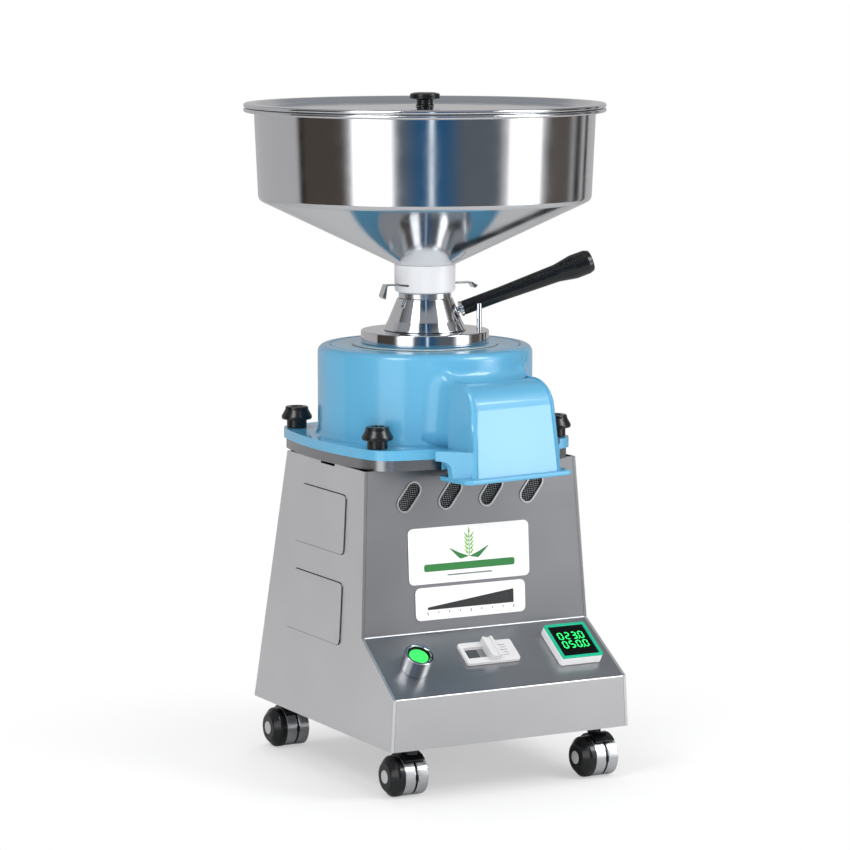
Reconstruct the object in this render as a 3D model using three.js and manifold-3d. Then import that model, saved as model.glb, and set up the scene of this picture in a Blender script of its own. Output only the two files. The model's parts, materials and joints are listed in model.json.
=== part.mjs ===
// Domestic flour mill: slanted steel cabinet on casters, cast grinding head, round hopper.
// Millimetres, +Z up, the front faces -Y, the mill axis is x = 0 and y = 0, the floor is z = 0.
import * as THREE from "three";
import { mergeVertices } from "three/addons/utils/BufferGeometryUtils.js";
import Module from "manifold-3d";

const wasm = await Module();
wasm.setup();

// General fits
const fit = 0.3; // gap between two pieces that sit on each other
const runFit = 0.4; // gap round something that turns or slides
const overlap = 1; // how far a cutting solid reaches past what it cuts
const farOut = 320; // half length of the solids that only trim others
const weld = 0.02; // edges shorter than this close up
const samePoint = 1e-4; // corners nearer than this are one corner
const midRoundShare = 0.3; // share of a round at its middle corner

// Roundness, in sides of a circle
const fineSides = 48;
const midSides = 28;
const smallSides = 18;
const tinySides = 10;
const hiddenSides = 18; // pieces inside the cabinet and the drum
const wheelSides = 16;

// Twin wheel casters
const wheelRadius = 23.5;
const rimRadiusWheel = wheelRadius - runFit;
const rimHalfWidth = 14.4;
const rimGap = 1.15;
const rimChamfer = 1.2;
const cheekDepth = 15; // from the rim to the outer face
const cheekBevelDepth = 7.6;
const cheekBevelRise = 8;
const cheekFaceRadius = wheelRadius - cheekBevelRise;
const cheekBossRadius = 5.4;
const cheekBossRise = 0.8;
const axleRadius = 3;
const axleTail = 2.6;
const bladeHalf = 0.75;
const bladeInset = 1.7;
const hoodGap = 1.1;
const hoodSheet = 2.2;
const hoodHalfAngle = 42;
const hoodHalfWidth = 12.4;
const nubRise = 1.7;
const nubHeight = 7;
const forkPlateRadius = 17;
const forkPlateThickness = 2.6;
const forkStemRadius = 8;
const casterHeadroom = 13; // from the top of the wheel to the base
const casterTrail = 8;
const frontLeftCasterInset = 42.6;
const frontRightCasterInset = 25.6;
const rearCasterInset = 37.6;
const casterFrontInset = 33.1;
const casterRearInset = 28.4;

// Round grinding housing
const drumRadius = 125.5;
const drumWall = 7.5;
const drumHeight = 103.8;
const drumRound = 9;
const drumFoot = 7;
const drumFloor = 6;
const chamberRadius = drumRadius - drumWall;
const coverInset = 8;
const coverRadius = chamberRadius - coverInset;
const coverThickness = 8;
const ledgeWidth = 6;
const coverLedge = coverRadius - ledgeWidth;
const seamDepth = 2.2;

// Band under the head and bulged square outline of the flange
const bandHeight = 12;
const flangeLedge = 15.5; // from the drum to the middle of a side
const bandMiddle = drumRadius + flangeLedge;
const bandBulge = 17;
const bandCorner = bandMiddle - bandBulge; // from the axis to a corner, along each side
const bandCornerRound = 14;
const flangeOverhang = 2.2;
const flangeHeight = 11.4;

// Cabinet shell
const lowerFaceHeight = 59.1;
const slopeRise = 55.2;
const slopeRun = 84.3;
const upperFaceHeight = 188.4;
const upperFaceLean = 11.2;
const rearSpread = 60.6;
const sideSpread = 16.2;
const bandOverhang = 3.6;
const frontTopInset = 27.4;
const rearTopInset = 55.2;
const topHalfWidth = bandMiddle - bandOverhang;
const baseHalfWidth = topHalfWidth + sideSpread;
const frontTopY = frontTopInset - bandMiddle;
const slopeTopY = frontTopY - upperFaceLean;
const frontFootY = slopeTopY - slopeRun;
const rearTopY = bandMiddle - rearTopInset;
const rearBaseY = rearTopY + rearSpread;
const baseZ = 2 * wheelRadius + casterHeadroom;
const lowerFaceTopZ = baseZ + lowerFaceHeight;
const slopeTopZ = lowerFaceTopZ + slopeRise;
const cabinetTopZ = slopeTopZ + upperFaceHeight;
const sheet = 1.5;
const returnWidth = 3.4; // visible front fold of each side panel
const baseSheet = 2.5;

// Embossed hatches and the notch of the side panels
const hatchRise = 1.4;
const hatchRound = 7;
const hatchInset = 41.6;
const upperHatchDrop = 32.7;
const upperHatchHeight = 68;
const upperHatchTopInset = 46.8;
const upperHatchFootInset = 23.1;
const hatchGap = 33;
const lowerHatchHeight = 71;
const lowerHatchTopInset = 35;
const lowerHatchFootInset = 10.5;
const hatchFrontY = frontTopY + hatchInset;
const upperHatchTopZ = cabinetTopZ - upperHatchDrop;
const upperHatchBottomZ = upperHatchTopZ - upperHatchHeight;
const lowerHatchTopZ = upperHatchBottomZ - hatchGap;
const lowerHatchBottomZ = lowerHatchTopZ - lowerHatchHeight;
const notchInset = 74.9;
const notchLength = 35.4;
const notchDepth = 3.2;

// Vent slots in the upper front panel
const ventCount = 4;
const ventFirstX = -82;
const ventStep = 53.2;
const ventDrop = 32.4; // from the top of the panel to the middle of the slots
const ventLength = 35.8;
const ventWidth = 15.8;
const ventSlant = 38;
const ventRimWidth = 2.1;
const ventRimRise = 1.1;
const grilleThickness = 1;
const grilleMargin = 7;

// Label plates on the upper front panel
const labelThickness = 0.8;
const labelRound = 6;
const labelGap = 3.9;
const nameLabelWidth = 157;
const nameLabelHeight = 64.5;
const nameLabelX = -6.7;
const scaleLabelWidth = 143;
const scaleLabelHeight = 37.5;
const scaleLabelX = -6.2;
const scaleLabelAlong = 32.6;
const nameLabelAlong = scaleLabelAlong + scaleLabelHeight / 2 + labelGap + nameLabelHeight / 2;

// Push button on the slope
const buttonX = -103.5;
const buttonAlong = 54;
const bezelRadius = 17;
const bezelHeight = 22;
const bezelRound = 1.6;
const bezelWall = 3.6;
const bezelBore = bezelRadius - bezelWall;
const bezelPocketFloor = 8;
const barrelRadius = 10.8;
const barrelDepth = 26;
const plungerRadius = 8.2;
const plungerDepth = 22;
const buttonGap = 0.9;
const buttonRadius = bezelBore - buttonGap;
const buttonSink = 2.4;
const buttonTop = bezelHeight - buttonSink;
const buttonDome = 1.4;
const buttonTravel = 3.3;
const buttonUnder = bezelPocketFloor + buttonTravel;

// Slide switch on the slope
const switchX = -4.4;
const switchAlong = 43.8;
const switchLength = 69;
const switchWidth = 33;
const switchThickness = 5;
const switchRound = 3;
const windowLeft = -30;
const windowWidth = 17;
const windowFloor = 1.2;
const sliderX = 1.5;
const sliderLength = 13;
const sliderInset = 2;
const sliderWidth = switchWidth - sliderInset;
const sliderHeight = 6.6;
const sliderRidgeWidth = 3.4;
const sliderRidgeRise = 1.6;
const tongueInset = 1;
const tongueLength = sliderLength - tongueInset;
const windowRight = sliderX + tongueLength / 2 + runFit;

// Display block on the slope
const displayX = 102.4;
const displayAlong = 47.5;
const displayLength = 54;
const displayDepth = 56;
const displayBlockHeight = 10.8;
const displayBezelHeight = 1.6;
const displayBezelWidth = 4;
const displayWindowHeight = 1.1;

// Cable gland in the back panel
const glandX = 90;
const glandAlong = 45;
const glandBaseRadius = 13;
const glandCapRadius = 10;
const glandBaseHeight = 7;
const glandCapHeight = 19;
const glandBore = 5;
const glandThroatRadius = 7.6;
const glandInside = 9;

// Discharge spout, in its own direction from the axis
const spoutTurn = 8;
const spoutHalfWidth = 58;
const spoutFlare = 6.4; // how far each side leans out down to the lip
const spoutWall = 4.5;
const hoodReach = 5.5; // the reaches start at the drum
const hoodShoulderStep = 18;
const hoodBrowStep = 14;
const faceTopStep = 8.5;
const faceFootStep = 8.5;
const backStep = 2;
const innerStep = 25.5;
const hoodDrop = 31; // the drops start at the top of the drum
const hoodShoulderDrop = 2.5;
const hoodBrowDrop = 7;
const faceTopDrop = 14;
const outletDrop = 11.5;
const lipDrop = 24.3; // from the underside of the flange to that of the lip
const spoutEdgeWidth = 7;
const spoutEdgeRise = 2;
const lipThickness = 5.6;
const lipSide = 12;
const lipFront = 6;
const lipRound = 9;
const webReach = 22;
const webDrop = 10;
const webRoot = 14; // how far a web runs into the flange

// Adjusting cone with its threaded tube
const tubeRadius = 26;
const tubeWall = 5;
const feedBore = tubeRadius - tubeWall;
const coneFootRadius = 48.7;
const coneTopRadius = 32.2;
const coneHeight = 37;
const coneWaistShare = 0.3;
const coneWaistRadiusShare = 0.345;
const coneWaistRadius = coneFootRadius - (coneFootRadius - coneTopRadius) * coneWaistRadiusShare;
const throatRingInset = 1.6;
const throatRingRadius = coneTopRadius - throatRingInset;
const throatRingHeight = 6.2;
const throatRingRound = 0.4;

// Rings on the cover
const sealLedge = 36.7; // from the foot of the cone to the edge of the seal
const sealRadius = coneFootRadius + sealLedge;
const sealThickness = 1.7;
const sealRound = 0.5;
const steelRingInset = 10.6;
const steelRingRadius = sealRadius - steelRingInset;
const steelRingThickness = 14;
const steelRingRound = 1.5;
const stopPinRadius = 3;
const stopPinHeight = 31;
const stopPinInset = 11.5;
const stopPinDistance = steelRingRadius - stopPinInset;
const stopPinTurn = -28;
const stopPinSocket = 8;

// Lever
const leverRise = 19.2;
const leverStep = 6.7; // from the foot of the cone inwards to the root of the lever
const leverStartReach = coneFootRadius - leverStep;
const leverStartRise = 22.9;
const leverLength = 166;
const leverRootRadius = 8.4;
const leverWaistRadius = 8.6;
const leverSwellRadius = 11.4;
const leverBulbRadius = 14.4;
const leverBore = 4.2;
const bracketRodRadius = 3.8;
const bracketPlateRadius = 9.2;
const bracketPlateThickness = 2.6;
const bracketBury = 14;
const leverWaistShare = 0.3;
const leverSwellShare = 0.66;
const leverBulbShare = 0.92;
const bracketRodShare = 0.4;
const leverEndShare = 0.975;
const leverEndRadiusShare = 0.8;
const leverTipRadiusShare = 0.45;

// Collar and its two feed gates
const collarRadius = 35.5;
const collarHeight = 32.6;
const collarRound = 4;
const collarWall = 4.5;
const collarBore = collarRadius - collarWall;
const collarShelf = 2; // thickness over the slot of the gates
const gateTurn = -5;
const gateRise = 8.5;
const gateThickness = 1.8;
const gateWidth = 40;
const gateOutLeft = 17.5;
const gateOutRight = 26.8;
const gateTongue = 12; // width outside the collar
const gateNeckInset = 2;
const gateDropLeft = 15;
const gateDropRight = 5.5;
const gateTabTip = 3;
const gateBendShare = 0.22;

// Hopper, lid and knob
const hopperSheet = 1.5;
const neckGap = 0.6;
const neckRadius = collarBore - neckGap;
const bowlTopRadius = 197.8;
const bowlTaper = 4.3;
const bowlFootRadius = bowlTopRadius - bowlTaper;
const hopperConeRise = 75.9;
const bowlHeight = 105.8;
const rimOverhang = 12.2;
const rimRadius = bowlTopRadius + rimOverhang;
const rimHeight = 4.8;
const rimRound = 2;
const bowlTurnRound = 6;
const lidRimHeight = 5;
const lidSheet = 1.6;
const lidDish = 5.6;
const lidGap = 1.3;
const lidDishRadius = bowlTopRadius - hopperSheet - lidGap;
const lidCrownRadius = 60;
const lidCrownRise = 1.6;
const knobCapRadius = 17.4;
const knobCapHeight = 7.6;
const knobNeckRadius = 9.6;
const knobFootRadius = 11.5;
const knobHeight = 15.5;
const knobRound = 2.4;
const knobStudRadius = 3;
const knobStudDepth = 9;

// Clamp knobs
const clampInsetX = 8;
const clampInsetY = 20;
const clampX = bandCorner - clampInsetX;
const clampY = bandCorner - clampInsetY;
const clampNeckRadius = 11.8;
const clampNeckHeight = 10;
const clampWideRadius = 18;
const clampWideHeight = 3.4;
const clampTopRadius = 13.4;
const clampHeight = 25;
const clampDimpleRadius = 7;
const clampDimpleDepth = 3.2;
const clampStudRadius = 4;
const clampStudReach = 23;

// Stones and what carries them
const stoneClear = 20; // from the stones to the wall of the chamber
const stoneRadius = chamberRadius - stoneClear;
const stoneRise = 11.3;
const stoneThickness = 21;
const stoneGap = 0.8;
const stoneEye = 24;
const holderInset = 16;
const holderRadius = stoneRadius - holderInset;
const holderThickness = 6;
const holderHubRadius = 22;
const sweeperClear = 6;
const sweeperLength = chamberRadius - sweeperClear;
const sweeperWidth = 8;
const sweeperHeight = 4.4;
const carrierInset = 6;
const carrierRadius = stoneRadius - carrierInset;
const carrierThickness = 8;
const carrierGap = 0.6;
const carrierBore = tubeRadius + carrierGap;
const keyPinRadius = 3;
const keyPinOut = 7.4;
const keyPinDistance = carrierBore + keyPinOut;
const keyPinLength = 20;
const carrierHubWall = 15.4;
const carrierHubRadius = carrierBore + carrierHubWall;
const carrierHubHeight = 24;

// Motor, hung from the head
const motorShare = 0.6; // of the drum's radius
const motorRadius = drumRadius * motorShare;
const motorWall = 4;
const motorHeight = 128;
const bandRim = 33;
const bandOpening = bandMiddle - bandRim;
const bandClear = 10; // round the motor flange
const motorFlangeRadius = bandOpening - bandClear;
const motorFlangeThickness = 10;
const bellThickness = 6;
const bellHubRadius = 20;
const bellHubHeight = 9;
const bellVentRadius = 9;
const bellVentInset = 27;
const bellVentDistance = motorRadius - bellVentInset;
const bellVentCount = 6;
const airGap = 1;
const rotorShare = 0.57; // of the motor's radius
const rotorRadius = motorRadius * rotorShare;
const statorBore = rotorRadius + airGap;
const statorHeight = 74;
const statorDrop = 34;
const rotorHeight = 70;
const shaftRadius = 9;
const spindleGap = 3.5;
const spindleBore = shaftRadius + spindleGap;
const shaftBottomDrop = 14;
const fanInset = 15;
const fanRadius = motorRadius - motorWall - fanInset;
const fanDisc = 3;
const fanBladeHeight = 11;
const fanBladeWidth = 2.6;
const fanBladeCount = 7;
const fanHubRadius = 15;
const nutRadius = 14;
const nutHeight = 9;
const shaftTipRadius = 6;
const shaftTipLength = 10;

// Run capacitor on the base
const capacitorRadius = 18;
const capacitorHeight = 68;
const capacitorGap = 3;
const capacitorX = motorRadius + capacitorRadius + capacitorGap;
const capacitorY = 60;
const capacitorRound = 2;

// Heights that follow from the sizes above, from the band upwards
const bandTopZ = cabinetTopZ + fit + bandHeight;
const flangeBottomZ = bandTopZ + fit;
const flangeTopZ = flangeBottomZ + flangeHeight;
const drumTopZ = flangeTopZ + drumHeight;
const chamberFloorZ = flangeTopZ + drumFloor;
const coverBottomZ = drumTopZ - coverThickness;
const sealBottomZ = drumTopZ + fit;
const ringBottomZ = sealBottomZ + sealThickness + fit;
const ringTopZ = ringBottomZ + steelRingThickness;
const coneFootZ = ringTopZ + fit;
const coneTopZ = coneFootZ + coneHeight;
const throatBottomZ = coneTopZ + fit;
const collarBottomZ = throatBottomZ + throatRingHeight + fit;
const collarTopZ = collarBottomZ + collarHeight;
const gateZ = collarBottomZ + gateRise;
const collarShelfZ = gateZ + gateThickness + fit + collarShelf;
const neckBottomZ = collarShelfZ + fit;
const bowlFootZ = collarTopZ + hopperConeRise;
const rimTopZ = bowlFootZ + bowlHeight;
const lowerStoneZ = chamberFloorZ + stoneRise;
const lowerStoneTopZ = lowerStoneZ + stoneThickness;
const upperStoneZ = lowerStoneTopZ + stoneGap;
const carrierZ = upperStoneZ + stoneThickness + fit;
const motorTopZ = flangeBottomZ - fit;
const motorBottomZ = motorTopZ - motorFlangeThickness - motorHeight;
const leverStartZ = coneFootZ + leverStartRise;

// Side view of the spout, from the axis outwards
const spoutTop = drumTopZ - hoodDrop;
const hoodShoulderZ = spoutTop - hoodShoulderDrop;
const hoodBrowZ = hoodShoulderZ - hoodBrowDrop;
const spoutFaceTopZ = hoodBrowZ - faceTopDrop;
const outletTopZ = spoutTop - outletDrop;
const lipZ = flangeBottomZ - lipDrop;
const spoutHoodReach = drumRadius + hoodReach;
const hoodShoulderReach = spoutHoodReach + hoodShoulderStep;
const hoodBrowReach = hoodShoulderReach + hoodBrowStep;
const spoutFaceTopReach = hoodBrowReach + faceTopStep;
const spoutFaceFootReach = spoutFaceTopReach + faceFootStep;
const spoutBackReach = drumRadius + backStep;
const spoutInnerReach = drumRadius - innerStep;

// Places of the casters
const frontLeftCasterX = frontLeftCasterInset - baseHalfWidth;
const frontRightCasterX = baseHalfWidth - frontRightCasterInset;
const rearCasterX = baseHalfWidth - rearCasterInset;
const frontCasterY = frontFootY + casterFrontInset;
const rearCasterY = rearBaseY - casterRearInset;
const hoodInner = wheelRadius + hoodGap;
const hoodOuter = hoodInner + hoodSheet;
const nubReach = wheelRadius + nubRise;
const bladeRadius = wheelRadius - bladeInset;

// Turns a three.js geometry into a solid; a profile drawn the other way round is turned over.
function solid(geometry) {
  const bare = geometry.index ? geometry.toNonIndexed() : geometry.clone();
  bare.deleteAttribute("normal");
  bare.deleteAttribute("uv");
  const merged = mergeVertices(bare, samePoint);
  const corners = new Uint32Array(merged.index.array);
  const make = () =>
    new wasm.Manifold(
      new wasm.Mesh({
        numProp: 3,
        vertProperties: merged.attributes.position.array,
        triVerts: corners,
      }),
    );
  const first = make();
  if (first.volume() > 0) return first;
  for (let i = 0; i < corners.length; i += 3) {
    [corners[i + 1], corners[i + 2]] = [corners[i + 2], corners[i + 1]];
  }
  return make();
}

// Solid of revolution about Z from [radius, z] pairs.
function turned(pairs, sides) {
  const points = pairs.map(([r, z]) => new THREE.Vector2(r, z));
  const onAxis = pairs[0][0] === 0 && pairs[pairs.length - 1][0] === 0;
  if (!onAxis) points.push(points[0].clone());
  const lathe = new THREE.LatheGeometry(points, sides);
  lathe.rotateX(Math.PI / 2);
  return solid(lathe);
}

// Straight prism along Z from a flat outline of [x, y] pairs.
function prism(pairs, bottom, top) {
  const shape = new THREE.Shape(pairs.map(([x, y]) => new THREE.Vector2(x, y)));
  const body = new THREE.ExtrudeGeometry(shape, { depth: top - bottom, bevelEnabled: false });
  body.translate(0, 0, bottom);
  return solid(body);
}

// Prism across the mill from an outline of [y, z] pairs.
function crossPrism(pairs, left, right) {
  const shape = new THREE.Shape(pairs.map(([y, z]) => new THREE.Vector2(y, z)));
  const body = new THREE.ExtrudeGeometry(shape, { depth: right - left, bevelEnabled: false });
  const turn = new THREE.Matrix4().makeBasis(
    new THREE.Vector3(0, 1, 0),
    new THREE.Vector3(0, 0, 1),
    new THREE.Vector3(1, 0, 0),
  );
  body.translate(0, 0, left);
  body.applyMatrix4(turn);
  return solid(body);
}

function block(x0, x1, y0, y1, z0, z1) {
  const body = new THREE.BoxGeometry(x1 - x0, y1 - y0, z1 - z0);
  body.translate((x0 + x1) / 2, (y0 + y1) / 2, (z0 + z1) / 2);
  return solid(body);
}

function post(radius, x, y, bottom, top, sides) {
  const body = new THREE.CylinderGeometry(radius, radius, top - bottom, sides);
  body.rotateX(Math.PI / 2);
  body.translate(x, y, (bottom + top) / 2);
  return solid(body);
}

// Moves a solid by a matrix.
function placed(body, matrix) {
  return body.transform(matrix.elements);
}

function turnedAboutAxis(body, degrees) {
  return body.rotate([0, 0, degrees]);
}

// Points on an arc in the plane.
function arc(cx, cy, radius, from, to, steps) {
  const list = [];
  for (let i = 0; i <= steps; i += 1) {
    const angle = THREE.MathUtils.degToRad(from + ((to - from) * i) / steps);
    list.push([cx + radius * Math.cos(angle), cy + radius * Math.sin(angle)]);
  }
  return list;
}

// Rectangle with round corners about the origin.
function roundedBox(width, height, round, steps) {
  const x = width / 2 - round;
  const y = height / 2 - round;
  return [
    ...arc(x, y, round, 0, 90, steps),
    ...arc(-x, y, round, 90, 180, steps),
    ...arc(-x, -y, round, 180, 270, steps),
    ...arc(x, -y, round, 270, 360, steps),
  ];
}

// Any outline with its corners rounded.
function softened(pairs, round, steps) {
  const list = [];
  const count = pairs.length;
  for (let i = 0; i < count; i += 1) {
    const here = new THREE.Vector2(...pairs[i]);
    const back = new THREE.Vector2(...pairs[(i + count - 1) % count]).sub(here).normalize();
    const next = new THREE.Vector2(...pairs[(i + 1) % count]).sub(here).normalize();
    const half = Math.acos(THREE.MathUtils.clamp(back.dot(next), -1, 1)) / 2;
    const reach = round / Math.tan(half);
    const start = here.clone().addScaledVector(back, reach);
    const end = here.clone().addScaledVector(next, reach);
    for (let k = 0; k <= steps; k += 1) {
      const share = k / steps;
      const a = start.clone().lerp(here, share);
      const b = here.clone().lerp(end, share);
      const point = a.lerp(b, share);
      list.push([point.x, point.y]);
    }
  }
  return list;
}

// Outline of a bent sheet: a line of points and the same line moved to its left.
function sheetAlong(line, thickness) {
  const count = line.length;
  const normals = [];
  for (let i = 0; i + 1 < count; i += 1) {
    const dx = line[i + 1][0] - line[i][0];
    const dy = line[i + 1][1] - line[i][1];
    const length = Math.hypot(dx, dy);
    normals.push([-dy / length, dx / length]);
  }
  const inner = line.map(([x, y], i) => {
    const a = normals[Math.max(i - 1, 0)];
    const b = normals[Math.min(i, count - 2)];
    const sum = [a[0] + b[0], a[1] + b[1]];
    const scale = (2 * thickness) / (sum[0] * sum[0] + sum[1] * sum[1]);
    return [x + sum[0] * scale, y + sum[1] * scale];
  });
  return [...line, ...inner.reverse()];
}

const root = new THREE.Group();
root.name = "flour_mill";

const paints = {
  steel: { color: 0xa6a8ab, roughness: 0.32, metalness: 0.9 },
  polished: { color: 0xd3d5d8, roughness: 0.08, metalness: 1 },
  blue: { color: 0x69b4d8, roughness: 0.28, metalness: 0.1 },
  black: { color: 0x15171a, roughness: 0.4, metalness: 0 },
  white: { color: 0xf1f1f2, roughness: 0.35, metalness: 0 },
  iron: { color: 0x5b5e61, roughness: 0.6, metalness: 0.8 },
  stone: { color: 0xc9c0ad, roughness: 0.95, metalness: 0 },
  copper: { color: 0xb06a3a, roughness: 0.4, metalness: 0.9 },
  teal: { color: 0x10d8a8, roughness: 0.4, metalness: 0 },
  green: { color: 0x3de060, roughness: 0.35, metalness: 0 },
  screen: { color: 0x060a08, roughness: 0.15, metalness: 0 },
  sand: { color: 0xcfc6b2, roughness: 0.6, metalness: 0.1 },
};

// Adds one solid to the part as a named mesh.
function piece(name, body, paint) {
  const made = body.simplify(weld).getMesh();
  const geometry = new THREE.BufferGeometry();
  geometry.setAttribute("position", new THREE.BufferAttribute(made.vertProperties, 3));
  geometry.setIndex(new THREE.BufferAttribute(made.triVerts, 1));
  const flat = geometry.toNonIndexed();
  flat.computeVertexNormals();
  const mesh = new THREE.Mesh(flat, new THREE.MeshStandardMaterial(paints[paint]));
  mesh.name = name;
  root.add(mesh);
}

// Cabinet: side planes lean inwards towards the top.
const sideProfile = [
  [frontFootY, baseZ],
  [rearBaseY, baseZ],
  [rearTopY, cabinetTopZ],
  [frontTopY, cabinetTopZ],
  [slopeTopY, slopeTopZ],
  [frontFootY, lowerFaceTopZ],
];
const sideLean = (baseHalfWidth - topHalfWidth) / (cabinetTopZ - baseZ);

function wedge(inset) {
  const low = baseHalfWidth - inset + sideLean * overlap;
  const high = topHalfWidth - inset - sideLean * overlap;
  const bottom = baseZ - overlap;
  const top = cabinetTopZ + overlap;
  const outline = [
    [-low, bottom],
    [low, bottom],
    [high, top],
    [-high, top],
  ];
  const shape = new THREE.Shape(outline.map(([x, z]) => new THREE.Vector2(x, z)));
  const body = new THREE.ExtrudeGeometry(shape, { depth: 2 * farOut, bevelEnabled: false });
  body.rotateX(Math.PI / 2);
  body.translate(0, farOut, 0);
  return solid(body);
}

const frontLine = [
  [frontTopY, cabinetTopZ],
  [slopeTopY, slopeTopZ],
  [frontFootY, lowerFaceTopZ],
  [frontFootY, baseZ],
];
const frontSheet = crossPrism(sheetAlong(frontLine, sheet), -farOut, farOut);
const wholeWidth = wedge(0);
const leftHalf = block(-farOut, 0, -farOut, farOut, 0, cabinetTopZ + overlap);
const rightHalf = block(0, farOut, -farOut, farOut, 0, cabinetTopZ + overlap);

const sideOfZ = (z) => topHalfWidth + sideLean * (cabinetTopZ - z);

// A hatch is a pad on the side plane, one sheet's rise proud of it.
function hatch(topZ, bottomZ, topInset, footInset) {
  const outline = softened(
    [
      [hatchFrontY, bottomZ],
      [rearTopY - footInset, bottomZ],
      [rearTopY - topInset, topZ],
      [hatchFrontY, topZ],
    ],
    hatchRound,
    3,
  );
  return crossPrism(outline, -farOut, farOut).intersect(wedge(-hatchRise)).subtract(wedge(sheet / 2));
}

function sidePanel(half) {
  const slab = crossPrism(sideProfile, -farOut, farOut).intersect(wholeWidth).subtract(wedge(sheet));
  const fold = frontSheet.intersect(wholeWidth).subtract(wedge(returnWidth));
  const notch = block(
    -farOut,
    farOut,
    frontTopY + notchInset,
    frontTopY + notchInset + notchLength,
    cabinetTopZ - notchDepth,
    cabinetTopZ + overlap,
  );
  return slab
    .add(fold)
    .add(hatch(upperHatchTopZ, upperHatchBottomZ, upperHatchTopInset, upperHatchFootInset))
    .add(hatch(lowerHatchTopZ, lowerHatchBottomZ, lowerHatchTopInset, lowerHatchFootInset))
    .subtract(notch)
    .intersect(half);
}

piece("left_side_panel", sidePanel(leftHalf), "steel");
piece("right_side_panel", sidePanel(rightHalf), "steel");

// Frames on the panels: x across, y up along the sheet, z out of it.
function frameOn(lowY, lowZ, highY, highZ) {
  const up = new THREE.Vector3(0, highY - lowY, highZ - lowZ).normalize();
  const across = new THREE.Vector3(1, 0, 0);
  const out = new THREE.Vector3().crossVectors(across, up);
  return new THREE.Matrix4().makeBasis(across, up, out).setPosition(0, lowY, lowZ);
}
const upperFrame = frameOn(slopeTopY, slopeTopZ, frontTopY, cabinetTopZ);
const slopeFrame = frameOn(frontFootY, lowerFaceTopZ, slopeTopY, slopeTopZ);
const slopeLength = Math.hypot(slopeTopY - frontFootY, slopeTopZ - lowerFaceTopZ);
const backUp = new THREE.Vector3(0, rearTopY - rearBaseY, cabinetTopZ - baseZ).normalize();
const backAcross = new THREE.Vector3(-1, 0, 0);
const backOut = new THREE.Vector3().crossVectors(backAcross, backUp);
const backFrame = new THREE.Matrix4()
  .makeBasis(backAcross, backUp, backOut)
  .setPosition(0, rearBaseY, baseZ);

function ventOutline(grow) {
  const radius = ventWidth / 2 + grow;
  const run = (ventLength - ventWidth) / 2;
  return [...arc(0, run, radius, 0, 180, 8), ...arc(0, -run, radius, 180, 360, 8)];
}
const upperLength = Math.hypot(frontTopY - slopeTopY, cabinetTopZ - slopeTopZ);
const ventMiddleAlong = upperLength - ventDrop;
const ventPlaces = [];
for (let i = 0; i < ventCount; i += 1) {
  ventPlaces.push([ventFirstX + i * ventStep, ventMiddleAlong]);
}
function atVent([x, along], body) {
  return placed(body.rotate([0, 0, -ventSlant]).translate([x, along, 0]), upperFrame);
}

let frontPanel = frontSheet.intersect(wedge(returnWidth + fit));
for (const place of ventPlaces) {
  frontPanel = frontPanel
    .add(atVent(place, prism(ventOutline(ventRimWidth), -sheet / 2, ventRimRise)))
    .subtract(atVent(place, prism(ventOutline(0), -overlap - sheet, overlap + ventRimRise)));
}
const buttonY = slopeLength - buttonAlong;
const switchY = slopeLength - switchAlong;
const displayY = slopeLength - displayAlong;
const onSlope = (body, x, y) => placed(body.translate([x, y, 0]), slopeFrame);
frontPanel = frontPanel.subtract(
  onSlope(post(barrelRadius + fit, 0, 0, -overlap - sheet, overlap, smallSides), buttonX, buttonY),
);
piece("front_panel", frontPanel, "steel");

// Black sheet behind the four vents
const grilleWidth = (ventCount - 1) * ventStep + ventWidth + 2 * grilleMargin + 2 * fit;
const grilleMiddleX = ventFirstX + ((ventCount - 1) * ventStep) / 2;
const grilleBody = prism(
  roundedBox(grilleWidth, ventLength + 2 * grilleMargin, grilleMargin, 2),
  -sheet - fit - grilleThickness,
  -sheet - fit,
).translate([grilleMiddleX, ventMiddleAlong, 0]);
piece("vent_grille", placed(grilleBody, upperFrame), "black");

function label(width, height, x, along) {
  const body = prism(roundedBox(width, height, labelRound, 3), fit, fit + labelThickness);
  return placed(body.translate([x, along, 0]), upperFrame);
}
piece("name_label", label(nameLabelWidth, nameLabelHeight, nameLabelX, nameLabelAlong), "white");
piece("scale_label", label(scaleLabelWidth, scaleLabelHeight, scaleLabelX, scaleLabelAlong), "white");

const backLine = [
  [rearBaseY, baseZ],
  [rearTopY, cabinetTopZ],
];
const glandHole = placed(
  post(glandThroatRadius + fit, 0, 0, -overlap - sheet, overlap, smallSides).translate([
    glandX,
    glandAlong,
    0,
  ]),
  backFrame,
);
piece(
  "back_panel",
  crossPrism(sheetAlong(backLine, sheet), -farOut, farOut)
    .intersect(wedge(sheet + fit))
    .subtract(glandHole),
  "steel",
);

const rearLean = (rearBaseY - rearTopY) / (cabinetTopZ - baseZ);
const baseRearY = rearBaseY - sheet - fit - rearLean * baseSheet - fit;
piece(
  "base_plate",
  block(-farOut, farOut, frontFootY + sheet + fit, baseRearY, baseZ, baseZ + baseSheet).intersect(
    wedge(sheet + fit),
  ),
  "steel",
);

const gland = turned(
  [
    [glandBore, -sheet - glandInside],
    [glandThroatRadius, -sheet - glandInside],
    [glandThroatRadius, fit],
    [glandBaseRadius, fit],
    [glandBaseRadius, glandBaseHeight],
    [glandCapRadius, glandBaseHeight],
    [glandCapRadius, glandCapHeight - bezelRound],
    [glandBore + bezelRound, glandCapHeight],
    [glandBore, glandCapHeight],
  ],
  tinySides,
);
piece("cable_gland", placed(gland.translate([glandX, glandAlong, 0]), backFrame), "black");

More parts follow.
